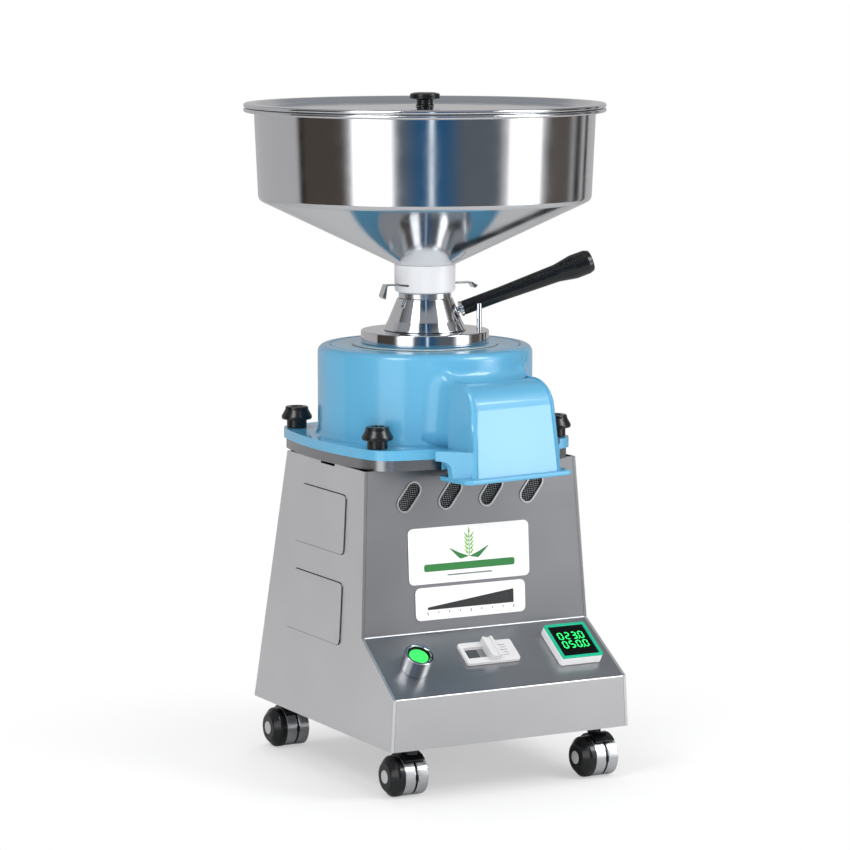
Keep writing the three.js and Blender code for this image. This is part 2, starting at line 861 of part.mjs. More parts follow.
// Controls on the slope
const bezel = turned(
  [
    [plungerRadius + runFit, -barrelDepth],
    [barrelRadius, -barrelDepth],
    [barrelRadius, fit],
    [bezelRadius, fit],
    [bezelRadius, bezelHeight - bezelRound],
    [bezelRadius - bezelRound, bezelHeight],
    [bezelBore, bezelHeight],
    [bezelBore, bezelPocketFloor],
    [plungerRadius + runFit, bezelPocketFloor],
  ],
  smallSides,
);
piece("button_bezel", onSlope(bezel, buttonX, buttonY), "polished");
const plunger = turned(
  [
    [0, -plungerDepth],
    [plungerRadius, -plungerDepth],
    [plungerRadius, buttonUnder],
    [buttonRadius, buttonUnder],
    [buttonRadius, buttonTop - buttonDome],
    [buttonRadius - buttonDome, buttonTop - buttonDome / 2],
    [0, buttonTop],
  ],
  smallSides,
);
piece("start_button", onSlope(plunger, buttonX, buttonY), "green");

const switchPlate = prism(
  roundedBox(switchLength, switchWidth, switchRound, 3),
  fit,
  switchThickness,
).subtract(
  block(
    windowLeft,
    windowRight,
    -windowWidth / 2,
    windowWidth / 2,
    windowFloor,
    switchThickness + overlap,
  ),
);
piece("switch_plate", onSlope(switchPlate, switchX, switchY), "white");
const sliderBottom = switchThickness + fit;
const sliderTop = sliderBottom + sliderHeight;
const ridgeSpan = sliderLength / 2 - sliderRidgeWidth;
let slider = block(
  -sliderLength / 2,
  sliderLength / 2,
  -sliderWidth / 2,
  sliderWidth / 2,
  sliderBottom,
  sliderTop,
).add(
  block(
    -tongueLength / 2,
    tongueLength / 2,
    runFit - windowWidth / 2,
    windowWidth / 2 - runFit,
    windowFloor + runFit,
    sliderBottom + overlap,
  ),
);
for (const side of [-1, 1]) {
  const inner = side * ridgeSpan;
  const outer = (side * sliderLength) / 2;
  slider = slider.add(
    block(
      Math.min(inner, outer),
      Math.max(inner, outer),
      -sliderWidth / 2,
      sliderWidth / 2,
      sliderTop - overlap,
      sliderTop + sliderRidgeRise,
    ),
  );
}
piece("switch_slider", onSlope(slider, switchX + sliderX, switchY), "white");

const displayBottom = displayBlockHeight + fit;
const displayHousing = prism(
  roundedBox(displayLength, displayDepth, switchRound, 3),
  fit,
  displayBlockHeight,
);
piece("display_housing", onSlope(displayHousing, displayX, displayY), "white");
const windowOutline = (grow) => [
  [grow - displayLength / 2, grow - displayDepth / 2],
  [displayLength / 2 - grow, grow - displayDepth / 2],
  [displayLength / 2 - grow, displayDepth / 2 - grow],
  [grow - displayLength / 2, displayDepth / 2 - grow],
];
const displayBezel = prism(
  roundedBox(displayLength, displayDepth, switchRound, 3),
  displayBottom,
  displayBottom + displayBezelHeight,
).subtract(
  prism(
    windowOutline(displayBezelWidth),
    displayBottom - overlap,
    displayBottom + displayBezelHeight + overlap,
  ),
);
piece("display_bezel", onSlope(displayBezel, displayX, displayY), "teal");
piece(
  "display_window",
  onSlope(
    prism(windowOutline(displayBezelWidth + fit), displayBottom, displayBottom + displayWindowHeight),
    displayX,
    displayY,
  ),
  "screen",
);

// Bulged square outline with soft corners, about the axis
function bulged(grow, steps) {
  const middle = bandMiddle + grow;
  const corner = bandCorner + grow;
  const sag = middle - corner;
  const radius = (corner * corner + sag * sag) / (2 * sag);
  const half = Math.asin(corner / radius);
  const side = [];
  for (let i = -steps; i <= steps; i += 1) {
    const angle = (half * i) / steps;
    const along = radius * Math.sin(angle);
    const out = middle - radius + radius * Math.cos(angle);
    const cut = corner - (bandCornerRound * Math.SQRT2) / 2;
    if (Math.abs(along) < cut) side.push([along, out]);
  }
  const list = [];
  for (let k = 0; k < 4; k += 1) {
    const turn = (-k * Math.PI) / 2;
    for (const [x, y] of side) {
      list.push([x * Math.cos(turn) - y * Math.sin(turn), x * Math.sin(turn) + y * Math.cos(turn)]);
    }
    const nearX = side[side.length - 1][0];
    const nearY = side[side.length - 1][1];
    const tip = (corner + (nearX + nearY) / 2) / 2;
    const cx = tip * Math.cos(turn) - tip * Math.sin(turn);
    const cy = tip * Math.sin(turn) + tip * Math.cos(turn);
    list.push([cx, cy]);
  }
  return list.reverse();
}

// Spout, drawn straight to the front and then turned about the axis
function spoutOutline(inset) {
  return [
    [-spoutInnerReach, spoutTop - inset],
    [-spoutHoodReach, spoutTop - inset],
    [inset - hoodShoulderReach, hoodShoulderZ - inset],
    [inset - hoodBrowReach, hoodBrowZ - inset],
    [inset - spoutFaceTopReach, spoutFaceTopZ],
    [inset - spoutFaceFootReach, lipZ + overlap],
    [-spoutBackReach - inset, lipZ + overlap],
    [-spoutBackReach - inset, flangeTopZ - inset],
    [-spoutInnerReach, flangeTopZ - inset],
  ];
}
function flareAt(z) {
  return (spoutFlare * (spoutTop - z)) / (spoutTop - lipZ);
}
function flared(body) {
  return body.warp((corner) => {
    corner[0] *= 1 + Math.max(flareAt(corner[2]), 0) / spoutHalfWidth;
  });
}
const spoutSolid = crossPrism(spoutOutline(0), -spoutHalfWidth, spoutHalfWidth);
const insideHalf = spoutHalfWidth - spoutWall;
const passage = crossPrism(
  [
    [-spoutInnerReach, outletTopZ],
    [-spoutHoodReach, outletTopZ],
    [spoutWall - hoodBrowReach, hoodBrowZ - spoutWall],
    [spoutWall - spoutFaceTopReach, spoutFaceTopZ - spoutWall],
    [spoutWall - spoutFaceFootReach, lipZ - overlap],
    [-spoutBackReach - spoutWall, lipZ - overlap],
    [-spoutBackReach - spoutWall, chamberFloorZ - drumFloor],
    [-spoutInnerReach, chamberFloorZ],
  ],
  -insideHalf,
  insideHalf,
);
const faceLine = [
  [-spoutFaceTopReach, spoutFaceTopZ],
  [-spoutFaceFootReach, lipZ + overlap],
];
const faceSheet = sheetAlong(faceLine, -spoutEdgeRise);
const faceEdge = crossPrism(faceSheet, -spoutHalfWidth, spoutEdgeWidth - spoutHalfWidth).add(
  crossPrism(faceSheet, spoutHalfWidth - spoutEdgeWidth, spoutHalfWidth),
);
const lipDepth = spoutFaceFootReach + lipFront - spoutBackReach;
const lipWidth = 2 * (spoutHalfWidth + spoutFlare + lipSide);
const lipOutline = roundedBox(lipWidth, lipDepth, lipRound, 4).map(([x, y]) => [
  x,
  y - spoutBackReach - lipDepth / 2,
]);
const lip = prism(lipOutline, lipZ, lipZ + lipThickness);

// Hollow corner web between the flange edge and each cheek
function web(side) {
  const edge = bandMiddle + flangeOverhang;
  const curve = arc(spoutHalfWidth + webReach, -edge - webReach, webReach, 90, 180, 5);
  const outline = [...curve, [spoutHalfWidth - overlap, -edge - webReach]];
  outline.push([spoutHalfWidth - overlap, overlap - edge]);
  outline.push([spoutHalfWidth + webReach, overlap - edge]);
  const foot = block(
    spoutHalfWidth - overlap,
    spoutHalfWidth + webReach,
    -edge,
    webRoot - edge,
    flangeBottomZ,
    flangeTopZ,
  );
  const body = prism(outline, flangeBottomZ - webDrop, flangeTopZ).add(foot);
  return side > 0 ? body : body.mirror([1, 0, 0]);
}

// Outside of the drum with the round at its foot, grown by a gap for what stands against it
function drumProfile(grow) {
  const radius = drumRadius + grow;
  return [
    [0, flangeBottomZ + overlap],
    [radius - grow, flangeBottomZ + overlap],
    [radius - grow, flangeTopZ],
    [radius + drumFoot, flangeTopZ],
    [radius + drumFoot * midRoundShare, flangeTopZ + drumFoot * midRoundShare],
    [radius, flangeTopZ + drumFoot],
    ...arc(radius - drumRound, drumTopZ - drumRound, drumRound, 0, 90, 5),
    [coverRadius + fit + seamDepth, drumTopZ],
    [coverRadius + fit, drumTopZ - seamDepth],
    [0, drumTopZ - seamDepth],
  ];
}
const chamber = post(chamberRadius, 0, 0, chamberFloorZ, coverBottomZ - drumFoot, fineSides);
const coverSeat = post(coverRadius + fit, 0, 0, coverBottomZ - fit, drumTopZ + overlap, fineSides);
const coverThroat = post(coverLedge, 0, 0, chamberFloorZ, drumTopZ + overlap, fineSides);
let studHoles = null;
for (const sx of [-1, 1]) {
  for (const sy of [-1, 1]) {
    const hole = post(
      clampStudRadius + runFit,
      sx * clampX,
      sy * clampY,
      cabinetTopZ - overlap,
      flangeTopZ + overlap,
      tinySides,
    );
    studHoles = studHoles ? studHoles.add(hole) : hole;
  }
}
const spoutFootHalf = spoutHalfWidth + flareAt(cabinetTopZ) + fit;
const spoutFoot = block(
  -spoutFootHalf,
  spoutFootHalf,
  -farOut,
  fit - spoutBackReach,
  flangeBottomZ - webDrop - overlap,
  flangeTopZ,
);
const housing = prism(bulged(flangeOverhang, 7), flangeBottomZ, flangeTopZ)
  .add(turnedAboutAxis(web(-1).add(web(1)), spoutTurn))
  .subtract(turnedAboutAxis(spoutFoot, spoutTurn))
  .add(turned(drumProfile(0), fineSides))
  .subtract(chamber)
  .subtract(coverSeat)
  .subtract(coverThroat)
  .subtract(turnedAboutAxis(flared(passage), spoutTurn))
  .subtract(post(spindleBore, 0, 0, flangeBottomZ - overlap, chamberFloorZ + overlap, smallSides))
  .subtract(studHoles);
piece("mill_housing", housing, "blue");
const spoutBody = flared(spoutSolid.add(faceEdge)).add(lip).subtract(flared(passage));
piece(
  "spout",
  turnedAboutAxis(spoutBody, spoutTurn).subtract(turned(drumProfile(fit), fineSides)),
  "blue",
);

const spoutSpace = turnedAboutAxis(
  block(-spoutFootHalf, spoutFootHalf, -farOut, fit - spoutBackReach, 0, bandTopZ + overlap).add(
    prism(
      [
        [-spoutHalfWidth - lipSide - webReach, -farOut],
        [spoutHalfWidth + lipSide + webReach, -farOut],
        [spoutHalfWidth + lipSide + webReach, -bandMiddle - flangeOverhang + overlap + fit],
        [-spoutHalfWidth - lipSide - webReach, -bandMiddle - flangeOverhang + overlap + fit],
      ],
      0,
      bandTopZ + overlap,
    ),
  ),
  spoutTurn,
);
const topFrame = prism(bulged(0, 7), cabinetTopZ + fit, bandTopZ)
  .subtract(post(bandOpening, 0, 0, cabinetTopZ - overlap, bandTopZ + overlap, midSides))
  .subtract(spoutSpace)
  .subtract(studHoles);
piece("top_frame", topFrame, "polished");

// Cover with its two guide pins for the stone carrier
const coverBore = tubeRadius + runFit;
let cover = turned(
  [
    [coverBore, coverBottomZ],
    [coverRadius, coverBottomZ],
    [coverRadius, drumTopZ],
    [coverBore, drumTopZ],
  ],
  fineSides,
);
for (const side of [-1, 1]) {
  cover = cover.add(
    post(
      keyPinRadius,
      side * keyPinDistance,
      0,
      coverBottomZ - keyPinLength,
      coverBottomZ + overlap,
      tinySides,
    ),
  );
}
piece("drum_cover", cover, "blue");

function ring(inner, outer, bottom, top, round, sides) {
  return turned(
    [
      [inner, bottom],
      [outer, bottom],
      [outer, top - round],
      [outer - round, top],
      [inner, top],
    ],
    sides,
  );
}
piece(
  "seal_ring",
  ring(coverBore, sealRadius, sealBottomZ, sealBottomZ + sealThickness, sealRound, midSides),
  "sand",
);
const pinTurn = THREE.MathUtils.degToRad(stopPinTurn);
const pinX = stopPinDistance * Math.cos(pinTurn);
const pinY = stopPinDistance * Math.sin(pinTurn);
piece(
  "steel_ring",
  ring(coverBore, steelRingRadius, ringBottomZ, ringTopZ, steelRingRound, midSides).subtract(
    post(stopPinRadius + fit, pinX, pinY, ringTopZ - stopPinSocket, ringTopZ + overlap, tinySides),
  ),
  "polished",
);
const pinFoot = ringTopZ - stopPinSocket + fit;
piece(
  "stop_pin",
  turned(
    [
      [0, pinFoot],
      [stopPinRadius, pinFoot],
      [stopPinRadius, ringTopZ + stopPinHeight - steelRingRound],
      [stopPinRadius - steelRingRound, ringTopZ + stopPinHeight],
      [0, ringTopZ + stopPinHeight],
    ],
    tinySides,
  ).translate([pinX, pinY, 0]),
  "polished",
);

// Lever pieces are drawn along Z, then laid on the lever's line.
const leverMatrix = new THREE.Matrix4();
// At rest the grip leans on the stop pin.
const leverAngle = pinTurn + Math.asin((leverRootRadius + stopPinRadius + fit) / stopPinDistance);
const leverTilt = THREE.MathUtils.degToRad(leverRise);
const leverAlong = new THREE.Vector3(
  Math.cos(leverAngle) * Math.cos(leverTilt),
  Math.sin(leverAngle) * Math.cos(leverTilt),
  Math.sin(leverTilt),
);
const leverSide = new THREE.Vector3(-Math.sin(leverAngle), Math.cos(leverAngle), 0);
const leverUp = new THREE.Vector3().crossVectors(leverAlong, leverSide);
leverMatrix.makeBasis(leverSide, leverUp.clone().negate(), leverAlong.clone());
if (leverMatrix.determinant() < 0) leverMatrix.makeBasis(leverSide, leverUp, leverAlong);
leverMatrix.setPosition(
  leverStartReach * Math.cos(leverAngle),
  leverStartReach * Math.sin(leverAngle),
  leverStartZ,
);
const socketDepth = leverLength * bracketRodShare;
const bracket = turned(
  [
    [0, -bracketBury],
    [bracketRodRadius, -bracketBury],
    [bracketRodRadius, 0],
    [bracketPlateRadius, 0],
    [bracketPlateRadius, bracketPlateThickness],
    [bracketRodRadius, bracketPlateThickness],
    [bracketRodRadius, socketDepth - fit],
    [0, socketDepth - fit],
  ],
  tinySides,
);
const gripStart = bracketPlateThickness + fit;
const gripSocket = post(leverBore, 0, 0, -overlap, socketDepth, smallSides);
const gripSolid = turned(
  [
    [0, gripStart],
    [leverRootRadius, gripStart],
    [leverWaistRadius, leverLength * leverWaistShare],
    [leverSwellRadius, leverLength * leverSwellShare],
    [leverBulbRadius, leverLength * leverBulbShare],
    [leverBulbRadius * leverEndRadiusShare, leverLength * leverEndShare],
    [leverBulbRadius * leverTipRadiusShare, leverLength],
    [0, leverLength],
  ],
  smallSides,
).subtract(gripSocket);
piece("lever_bracket", placed(bracket, leverMatrix), "polished");
piece("lever_grip", placed(gripSolid, leverMatrix), "black");

const tubeFootZ = carrierZ + carrierThickness - fit;
const cone = turned(
  [
    [feedBore, tubeFootZ],
    [tubeRadius, tubeFootZ],
    [tubeRadius, coneFootZ],
    [coneFootRadius, coneFootZ],
    [coneWaistRadius, coneFootZ + coneHeight * coneWaistShare],
    [coneTopRadius, coneTopZ],
    [feedBore, coneTopZ],
  ],
  midSides,
).subtract(
  placed(post(bracketRodRadius + fit, 0, 0, -bracketBury - fit, farOut, tinySides), leverMatrix),
);
piece("feed_cone", cone, "polished");
piece(
  "throat_ring",
  ring(
    feedBore,
    throatRingRadius,
    throatBottomZ,
    throatBottomZ + throatRingHeight,
    throatRingRound,
    midSides,
  ),
  "sand",
);

// Collar with a slot for the gates right through it
const collarBody = turned(
  [
    [feedBore, collarBottomZ],
    [collarRadius - collarRound, collarBottomZ],
    [collarRadius - collarRound * midRoundShare, collarBottomZ + collarRound * midRoundShare],
    [collarRadius, collarBottomZ + collarRound],
    [collarRadius, collarTopZ],
    [collarBore, collarTopZ],
    [collarBore, collarShelfZ],
    [feedBore, collarShelfZ],
  ],
  midSides,
);
const gateSlot = block(
  -collarRadius - overlap,
  collarRadius + overlap,
  -gateWidth / 2 - runFit,
  gateWidth / 2 + runFit,
  gateZ - fit,
  gateZ + gateThickness + fit,
);
piece("collar", collarBody.subtract(turnedAboutAxis(gateSlot, gateTurn)), "white");

// A gate is a shutter inside the collar with a narrow tongue that ends in a bent tab.
function gate(side, out, drop) {
  const reach = collarRadius + out;
  const bend = reach - (reach - collarRadius) * gateBendShare;
  const outline = [
    [fit / 2, gateZ],
    [bend, gateZ],
    [reach - gateThickness, gateZ - drop],
    [reach, gateZ - drop],
    [reach + gateTabTip, gateZ - drop + gateTabTip],
    [bend + gateThickness, gateZ + gateThickness],
    [fit / 2, gateZ + gateThickness],
  ];
  const shape = new THREE.Shape(outline.map(([x, z]) => new THREE.Vector2(x, z)));
  const body = new THREE.ExtrudeGeometry(shape, { depth: gateWidth, bevelEnabled: false });
  body.rotateX(Math.PI / 2);
  body.translate(0, gateWidth / 2, 0);
  const neck = Math.sqrt(collarRadius ** 2 - (gateWidth / 2) ** 2) - gateNeckInset;
  const low = gateZ - drop - overlap;
  const high = gateZ + gateThickness + overlap;
  const shutter = block(0, neck, -gateWidth / 2 - overlap, gateWidth / 2 + overlap, low, high);
  const tongue = block(0, reach + gateTabTip, -gateTongue / 2, gateTongue / 2, low, high);
  const half = solid(body).intersect(shutter.add(tongue));
  const plate = side > 0 ? half : half.mirror([1, 0, 0]);
  return turnedAboutAxis(plate, gateTurn);
}
piece("feed_gate_left", gate(-1, gateOutLeft, gateDropLeft), "polished");
piece("feed_gate_right", gate(1, gateOutRight, gateDropRight), "polished");

// Hopper: neck in the collar, shallow cone, straight bowl, rolled rim
const coneRun = bowlFootRadius - collarRadius;
const coneRise = bowlFootZ - collarTopZ - fit;
const slantSheet = hopperSheet * Math.hypot(1, coneRise / coneRun);
const hopper = turned(
  [
    [neckRadius - hopperSheet, neckBottomZ],
    [neckRadius, neckBottomZ],
    [neckRadius, collarTopZ + fit],
    [collarRadius, collarTopZ + fit],
    [bowlFootRadius - bowlTurnRound, bowlFootZ - (bowlTurnRound * coneRise) / coneRun],
    [bowlFootRadius, bowlFootZ + bowlTurnRound / 2],
    [bowlTopRadius, rimTopZ - rimHeight],
    [rimRadius - rimRound, rimTopZ - rimHeight],
    [rimRadius, rimTopZ - rimHeight + rimRound],
    [rimRadius, rimTopZ - rimRound],
    [rimRadius - rimRound, rimTopZ],
    [bowlTopRadius - hopperSheet, rimTopZ],
    [bowlFootRadius - hopperSheet, bowlFootZ + bowlTurnRound / 2],
    [
      bowlFootRadius - bowlTurnRound - hopperSheet,
      bowlFootZ - (bowlTurnRound * coneRise) / coneRun + slantSheet,
    ],
    [neckRadius - hopperSheet, collarTopZ + fit + slantSheet],
  ],
  fineSides,
);
piece("hopper", hopper, "polished");

const lidBottomZ = rimTopZ + fit;
const lidTopZ = lidBottomZ + lidRimHeight;
const dishTopZ = lidTopZ - lidDish;
const lidUnderZ = dishTopZ - lidSheet;
const lid = turned(
  [
    [0, lidUnderZ + lidCrownRise],
    [lidCrownRadius, lidUnderZ + lidCrownRise],
    [lidDishRadius - lidDish, lidUnderZ],
    [lidDishRadius, lidBottomZ],
    [rimRadius - rimRound, lidBottomZ],
    [rimRadius, lidBottomZ + rimRound],
    [rimRadius, lidTopZ - rimRound],
    [rimRadius - rimRound, lidTopZ],
    [lidDishRadius + lidSheet, lidTopZ],
    [lidDishRadius - lidDish + lidSheet, dishTopZ],
    [lidCrownRadius, dishTopZ + lidCrownRise],
    [0, dishTopZ + lidCrownRise],
  ],
  fineSides,
).subtract(
  post(knobStudRadius + fit, 0, 0, lidUnderZ - overlap, lidTopZ + lidCrownRise, tinySides),
);
piece("hopper_lid", lid, "polished");
const knobFootZ = dishTopZ + lidCrownRise + fit;
const knobTopZ = knobFootZ + knobHeight;
piece(
  "lid_knob",
  turned(
    [
      [0, knobFootZ - knobStudDepth],
      [knobStudRadius, knobFootZ - knobStudDepth],
      [knobStudRadius, knobFootZ],
      [knobFootRadius, knobFootZ],
      [knobNeckRadius, knobFootZ + knobRound],
      [knobNeckRadius, knobTopZ - knobCapHeight],
      [knobCapRadius, knobTopZ - knobCapHeight + knobRound / 2],
      [knobCapRadius, knobTopZ - knobRound],
      [knobCapRadius - knobRound, knobTopZ - knobRound / 4],
      [0, knobTopZ],
    ],
    smallSides,
  ),
  "black",
);

// Clamp knobs with their studs
function clampKnob(x, y) {
  const foot = flangeTopZ + fit;
  const body = turned(
    [
      [0, foot - clampStudReach],
      [clampStudRadius, foot - clampStudReach],
      [clampStudRadius, foot],
      [clampNeckRadius, foot],
      [clampNeckRadius, foot + clampNeckHeight - fit],
      [clampWideRadius - rimRound, foot + clampNeckHeight],
      [clampWideRadius, foot + clampNeckHeight + rimRound / 2],
      [clampWideRadius, foot + clampNeckHeight + clampWideHeight],
      [clampTopRadius, foot + clampHeight - rimRound],
      [clampTopRadius - rimRound, foot + clampHeight],
      [clampDimpleRadius, foot + clampHeight],
      [clampDimpleRadius - rimRound, foot + clampHeight - clampDimpleDepth],
      [0, foot + clampHeight - clampDimpleDepth],
    ],
    smallSides,
  );
  return body.translate([x, y, 0]);
}
piece("clamp_knob_front_left", clampKnob(-clampX, -clampY), "black");
piece("clamp_knob_front_right", clampKnob(clampX, -clampY), "black");
piece("clamp_knob_rear_left", clampKnob(-clampX, clampY), "black");
piece("clamp_knob_rear_right", clampKnob(clampX, clampY), "black");

// Grinding set
const holderTopZ = lowerStoneZ - fit;
const holderBottomZ = holderTopZ - holderThickness;
let holder = turned(
  [
    [shaftRadius + fit, holderBottomZ],
    [holderRadius, holderBottomZ],
    [holderRadius, holderTopZ],
    [shaftRadius + fit, holderTopZ],
  ],
  hiddenSides,
);
const sweeper = block(
  holderHubRadius,
  sweeperLength,
  -sweeperWidth / 2,
  sweeperWidth / 2,
  holderBottomZ,
  holderBottomZ + sweeperHeight,
);
for (const turn of [0, 90, 180, 270]) {
  holder = holder.add(turnedAboutAxis(sweeper, turn));
}
piece("stone_holder", holder, "iron");
piece(
  "lower_stone",
  ring(shaftRadius + fit, stoneRadius, lowerStoneZ, lowerStoneTopZ, steelRingRound, hiddenSides),
  "stone",
);
piece(
  "upper_stone",
  ring(stoneEye, stoneRadius, upperStoneZ, upperStoneZ + stoneThickness, steelRingRound, hiddenSides),
  "stone",
);
const hubTopZ = carrierZ + carrierHubHeight;
let carrier = turned(
  [
    [carrierBore, carrierZ],
    [carrierRadius, carrierZ],
    [carrierRadius, carrierZ + carrierThickness],
    [carrierHubRadius, carrierZ + carrierThickness],
    [carrierHubRadius, hubTopZ],
    [carrierBore, hubTopZ],
  ],
  hiddenSides,
);
for (const side of [-1, 1]) {
  carrier = carrier.subtract(
    post(
      keyPinRadius + runFit,
      side * keyPinDistance,
      0,
      carrierZ + fit + overlap,
      hubTopZ + overlap,
      tinySides,
    ),
  );
}
piece("stone_carrier", carrier, "iron");

const shaftFootZ = motorBottomZ - bellThickness - shaftBottomDrop;
// Spindle with the hexagon that holds the lower stone
const hexagonFootZ = lowerStoneTopZ + fit;
piece(
  "spindle",
  turned(
    [
      [0, shaftFootZ],
      [shaftRadius, shaftFootZ],
      [shaftRadius, hexagonFootZ],
      [shaftTipRadius, hexagonFootZ],
      [shaftTipRadius, lowerStoneTopZ + shaftTipLength],
      [0, lowerStoneTopZ + shaftTipLength],
    ],
    smallSides,
  ).add(post(nutRadius, 0, 0, hexagonFootZ, lowerStoneTopZ + nutHeight, 6)),
  "polished",
);

// Motor under the head
const motorBodyTopZ = motorTopZ - motorFlangeThickness;
piece(
  "motor_housing",
  turned(
    [
      [motorRadius - motorWall, motorBottomZ],
      [motorRadius, motorBottomZ],
      [motorRadius, motorBodyTopZ],
      [motorFlangeRadius, motorBodyTopZ],
      [motorFlangeRadius, motorTopZ],
      [shaftRadius + runFit, motorTopZ],
      [shaftRadius + runFit, motorBodyTopZ],
      [motorRadius - motorWall, motorBodyTopZ],
    ],
    hiddenSides,
  ),
  "iron",
);
let bell = turned(
  [
    [shaftRadius + runFit, motorBottomZ - fit - bellThickness - bellHubHeight],
    [bellHubRadius, motorBottomZ - fit - bellThickness - bellHubHeight],
    [bellHubRadius, motorBottomZ - fit - bellThickness],
    [motorRadius, motorBottomZ - fit - bellThickness],
    [motorRadius, motorBottomZ - fit],
    [shaftRadius + runFit, motorBottomZ - fit],
  ],
  hiddenSides,
);
for (let i = 0; i < bellVentCount; i += 1) {
  const angle = (2 * Math.PI * i) / bellVentCount;
  bell = bell.subtract(
    post(
      bellVentRadius,
      bellVentDistance * Math.cos(angle),
      bellVentDistance * Math.sin(angle),
      motorBottomZ - fit - bellThickness - overlap,
      motorBottomZ + overlap,
      tinySides,
    ),
  );
}
piece("motor_end_bell", bell, "iron");
const statorTopZ = motorBodyTopZ - statorDrop;
piece(
  "stator",
  ring(statorBore, motorRadius - motorWall - runFit, statorTopZ - statorHeight, statorTopZ, fit, hiddenSides),
  "copper",
);
const rotorTopZ = statorTopZ - (statorHeight - rotorHeight) / 2;
piece(
  "rotor",
  ring(shaftRadius + fit, rotorRadius, rotorTopZ - rotorHeight, rotorTopZ, fit, hiddenSides),
  "iron",
);
const fanBottomZ = motorBottomZ + fanDisc;
let fan = ring(shaftRadius + fit, fanRadius, fanBottomZ, fanBottomZ + fanDisc, fit, smallSides);
fan = fan.add(
  ring(
    shaftRadius + fit,
    fanHubRadius,
    fanBottomZ,
    fanBottomZ + fanDisc + fanBladeHeight / 2,
    fit,
    smallSides,
  ),
);
for (let i = 0; i < fanBladeCount; i += 1) {
  const blade = block(
    fanHubRadius - overlap,
    fanRadius - overlap,
    -fanBladeWidth / 2,
    fanBladeWidth / 2,
    fanBottomZ + fanDisc / 2,
    fanBottomZ + fanDisc + fanBladeHeight,
  );
  fan = fan.add(turnedAboutAxis(blade, (360 * i) / fanBladeCount));
}
piece("cooling_fan", fan, "black");

const capacitorZ = baseZ + baseSheet + fit;
piece(
  "run_capacitor",
  turned(
    [
      [0, capacitorZ],
      [capacitorRadius, capacitorZ],
      [capacitorRadius, capacitorZ + capacitorHeight - capacitorRound],
      [capacitorRadius - capacitorRound, capacitorZ + capacitorHeight],
      [0, capacitorZ + capacitorHeight],
    ],
    smallSides,
  ).translate([capacitorX, capacitorY, 0]),
  "black",
);

// Casters: fork with a blade between two steel rims, and a black cheek on the rims' outer side
const acrossAxle = new THREE.Matrix4().makeBasis(
  new THREE.Vector3(0, 1, 0),
  new THREE.Vector3(0, 0, 1),
  new THREE.Vector3(1, 0, 0),
);
const rimProfile = [
  [0, -rimHalfWidth - axleTail],
  [axleRadius, -rimHalfWidth - axleTail],
  [axleRadius, -rimHalfWidth],
  [rimRadiusWheel, -rimHalfWidth],
  [rimRadiusWheel, -rimGap - rimChamfer],
  [rimRadiusWheel - rimChamfer, -rimGap],
  [axleRadius, -rimGap],
  [axleRadius, rimGap],
  [rimRadiusWheel - rimChamfer, rimGap],
  [rimRadiusWheel, rimGap + rimChamfer],
  [rimRadiusWheel, rimHalfWidth - rimChamfer],
  [rimRadiusWheel - rimChamfer, rimHalfWidth],
  [0, rimHalfWidth],
];
const cheekInnerX = rimHalfWidth + fit;
const cheekOuterX = cheekInnerX + cheekDepth;
const cheekProfile = [
  [0, -cheekOuterX - cheekBossRise],
  [cheekBossRadius, -cheekOuterX - cheekBossRise],
  [cheekBossRadius, -cheekOuterX],
  [cheekFaceRadius, -cheekOuterX],
  [wheelRadius, cheekBevelDepth - cheekOuterX],
  [wheelRadius, -cheekInnerX],
  [axleRadius + fit, -cheekInnerX],
  [axleRadius + fit, -rimHalfWidth - axleTail - fit],
  [0, -rimHalfWidth - axleTail - fit],
];

function caster(name, x, y, trail) {
  const wheelZ = wheelRadius;
  const wheelY = y + trail;
  const plateTop = baseZ - fit;
  const plateBottom = plateTop - forkPlateThickness;
  const hoodArc = [
    ...arc(0, 0, hoodOuter, 90 - hoodHalfAngle, 90 + hoodHalfAngle, 5),
    ...arc(0, 0, hoodInner, 90 + hoodHalfAngle, 90 - hoodHalfAngle, 5),
  ].map(([a, b]) => [a + wheelY, b + wheelZ]);
  const disc = arc(0, 0, bladeRadius, 0, 340, 17).map(([a, b]) => [a + wheelY, b + wheelZ]);
  const nubs = crossPrism(
    [
      [wheelY - nubReach, wheelZ - nubHeight / 2],
      [wheelY + nubReach, wheelZ - nubHeight / 2],
      [wheelY + nubReach, wheelZ + nubHeight / 2],
      [wheelY - nubReach, wheelZ + nubHeight / 2],
    ],
    -bladeHalf,
    bladeHalf,
  );
  const neck = crossPrism(
    [
      [wheelY - axleRadius * 2, wheelZ],
      [wheelY + axleRadius * 2, wheelZ],
      [wheelY + axleRadius * 2, wheelZ + hoodOuter - overlap],
      [wheelY - axleRadius * 2, wheelZ + hoodOuter - overlap],
    ],
    -bladeHalf,
    bladeHalf,
  );
  const fork = post(forkPlateRadius, 0, y, plateBottom, plateTop, smallSides)
    .add(post(forkStemRadius, 0, y, wheelZ + hoodInner + overlap / 2, plateTop - overlap, tinySides))
    .add(crossPrism(hoodArc, -hoodHalfWidth, hoodHalfWidth))
    .add(crossPrism(disc, -bladeHalf, bladeHalf))
    .add(nubs)
    .add(neck)
    .subtract(
      placed(post(axleRadius + fit, 0, 0, -rimHalfWidth, rimHalfWidth, tinySides), acrossAxle).translate([
        0,
        wheelY,
        wheelZ,
      ]),
    )
    .translate([x, 0, 0]);
  piece(`caster_fork_${name}`, fork, "black");
  piece(
    `caster_rims_${name}`,
    placed(turned(rimProfile, wheelSides), acrossAxle).translate([x, wheelY, wheelZ]),
    "polished",
  );
  piece(
    `caster_cheek_${name}`,
    placed(turned(cheekProfile, wheelSides), acrossAxle).translate([x, wheelY, wheelZ]),
    "black",
  );
}
caster("front_left", frontLeftCasterX, frontCasterY, casterTrail);
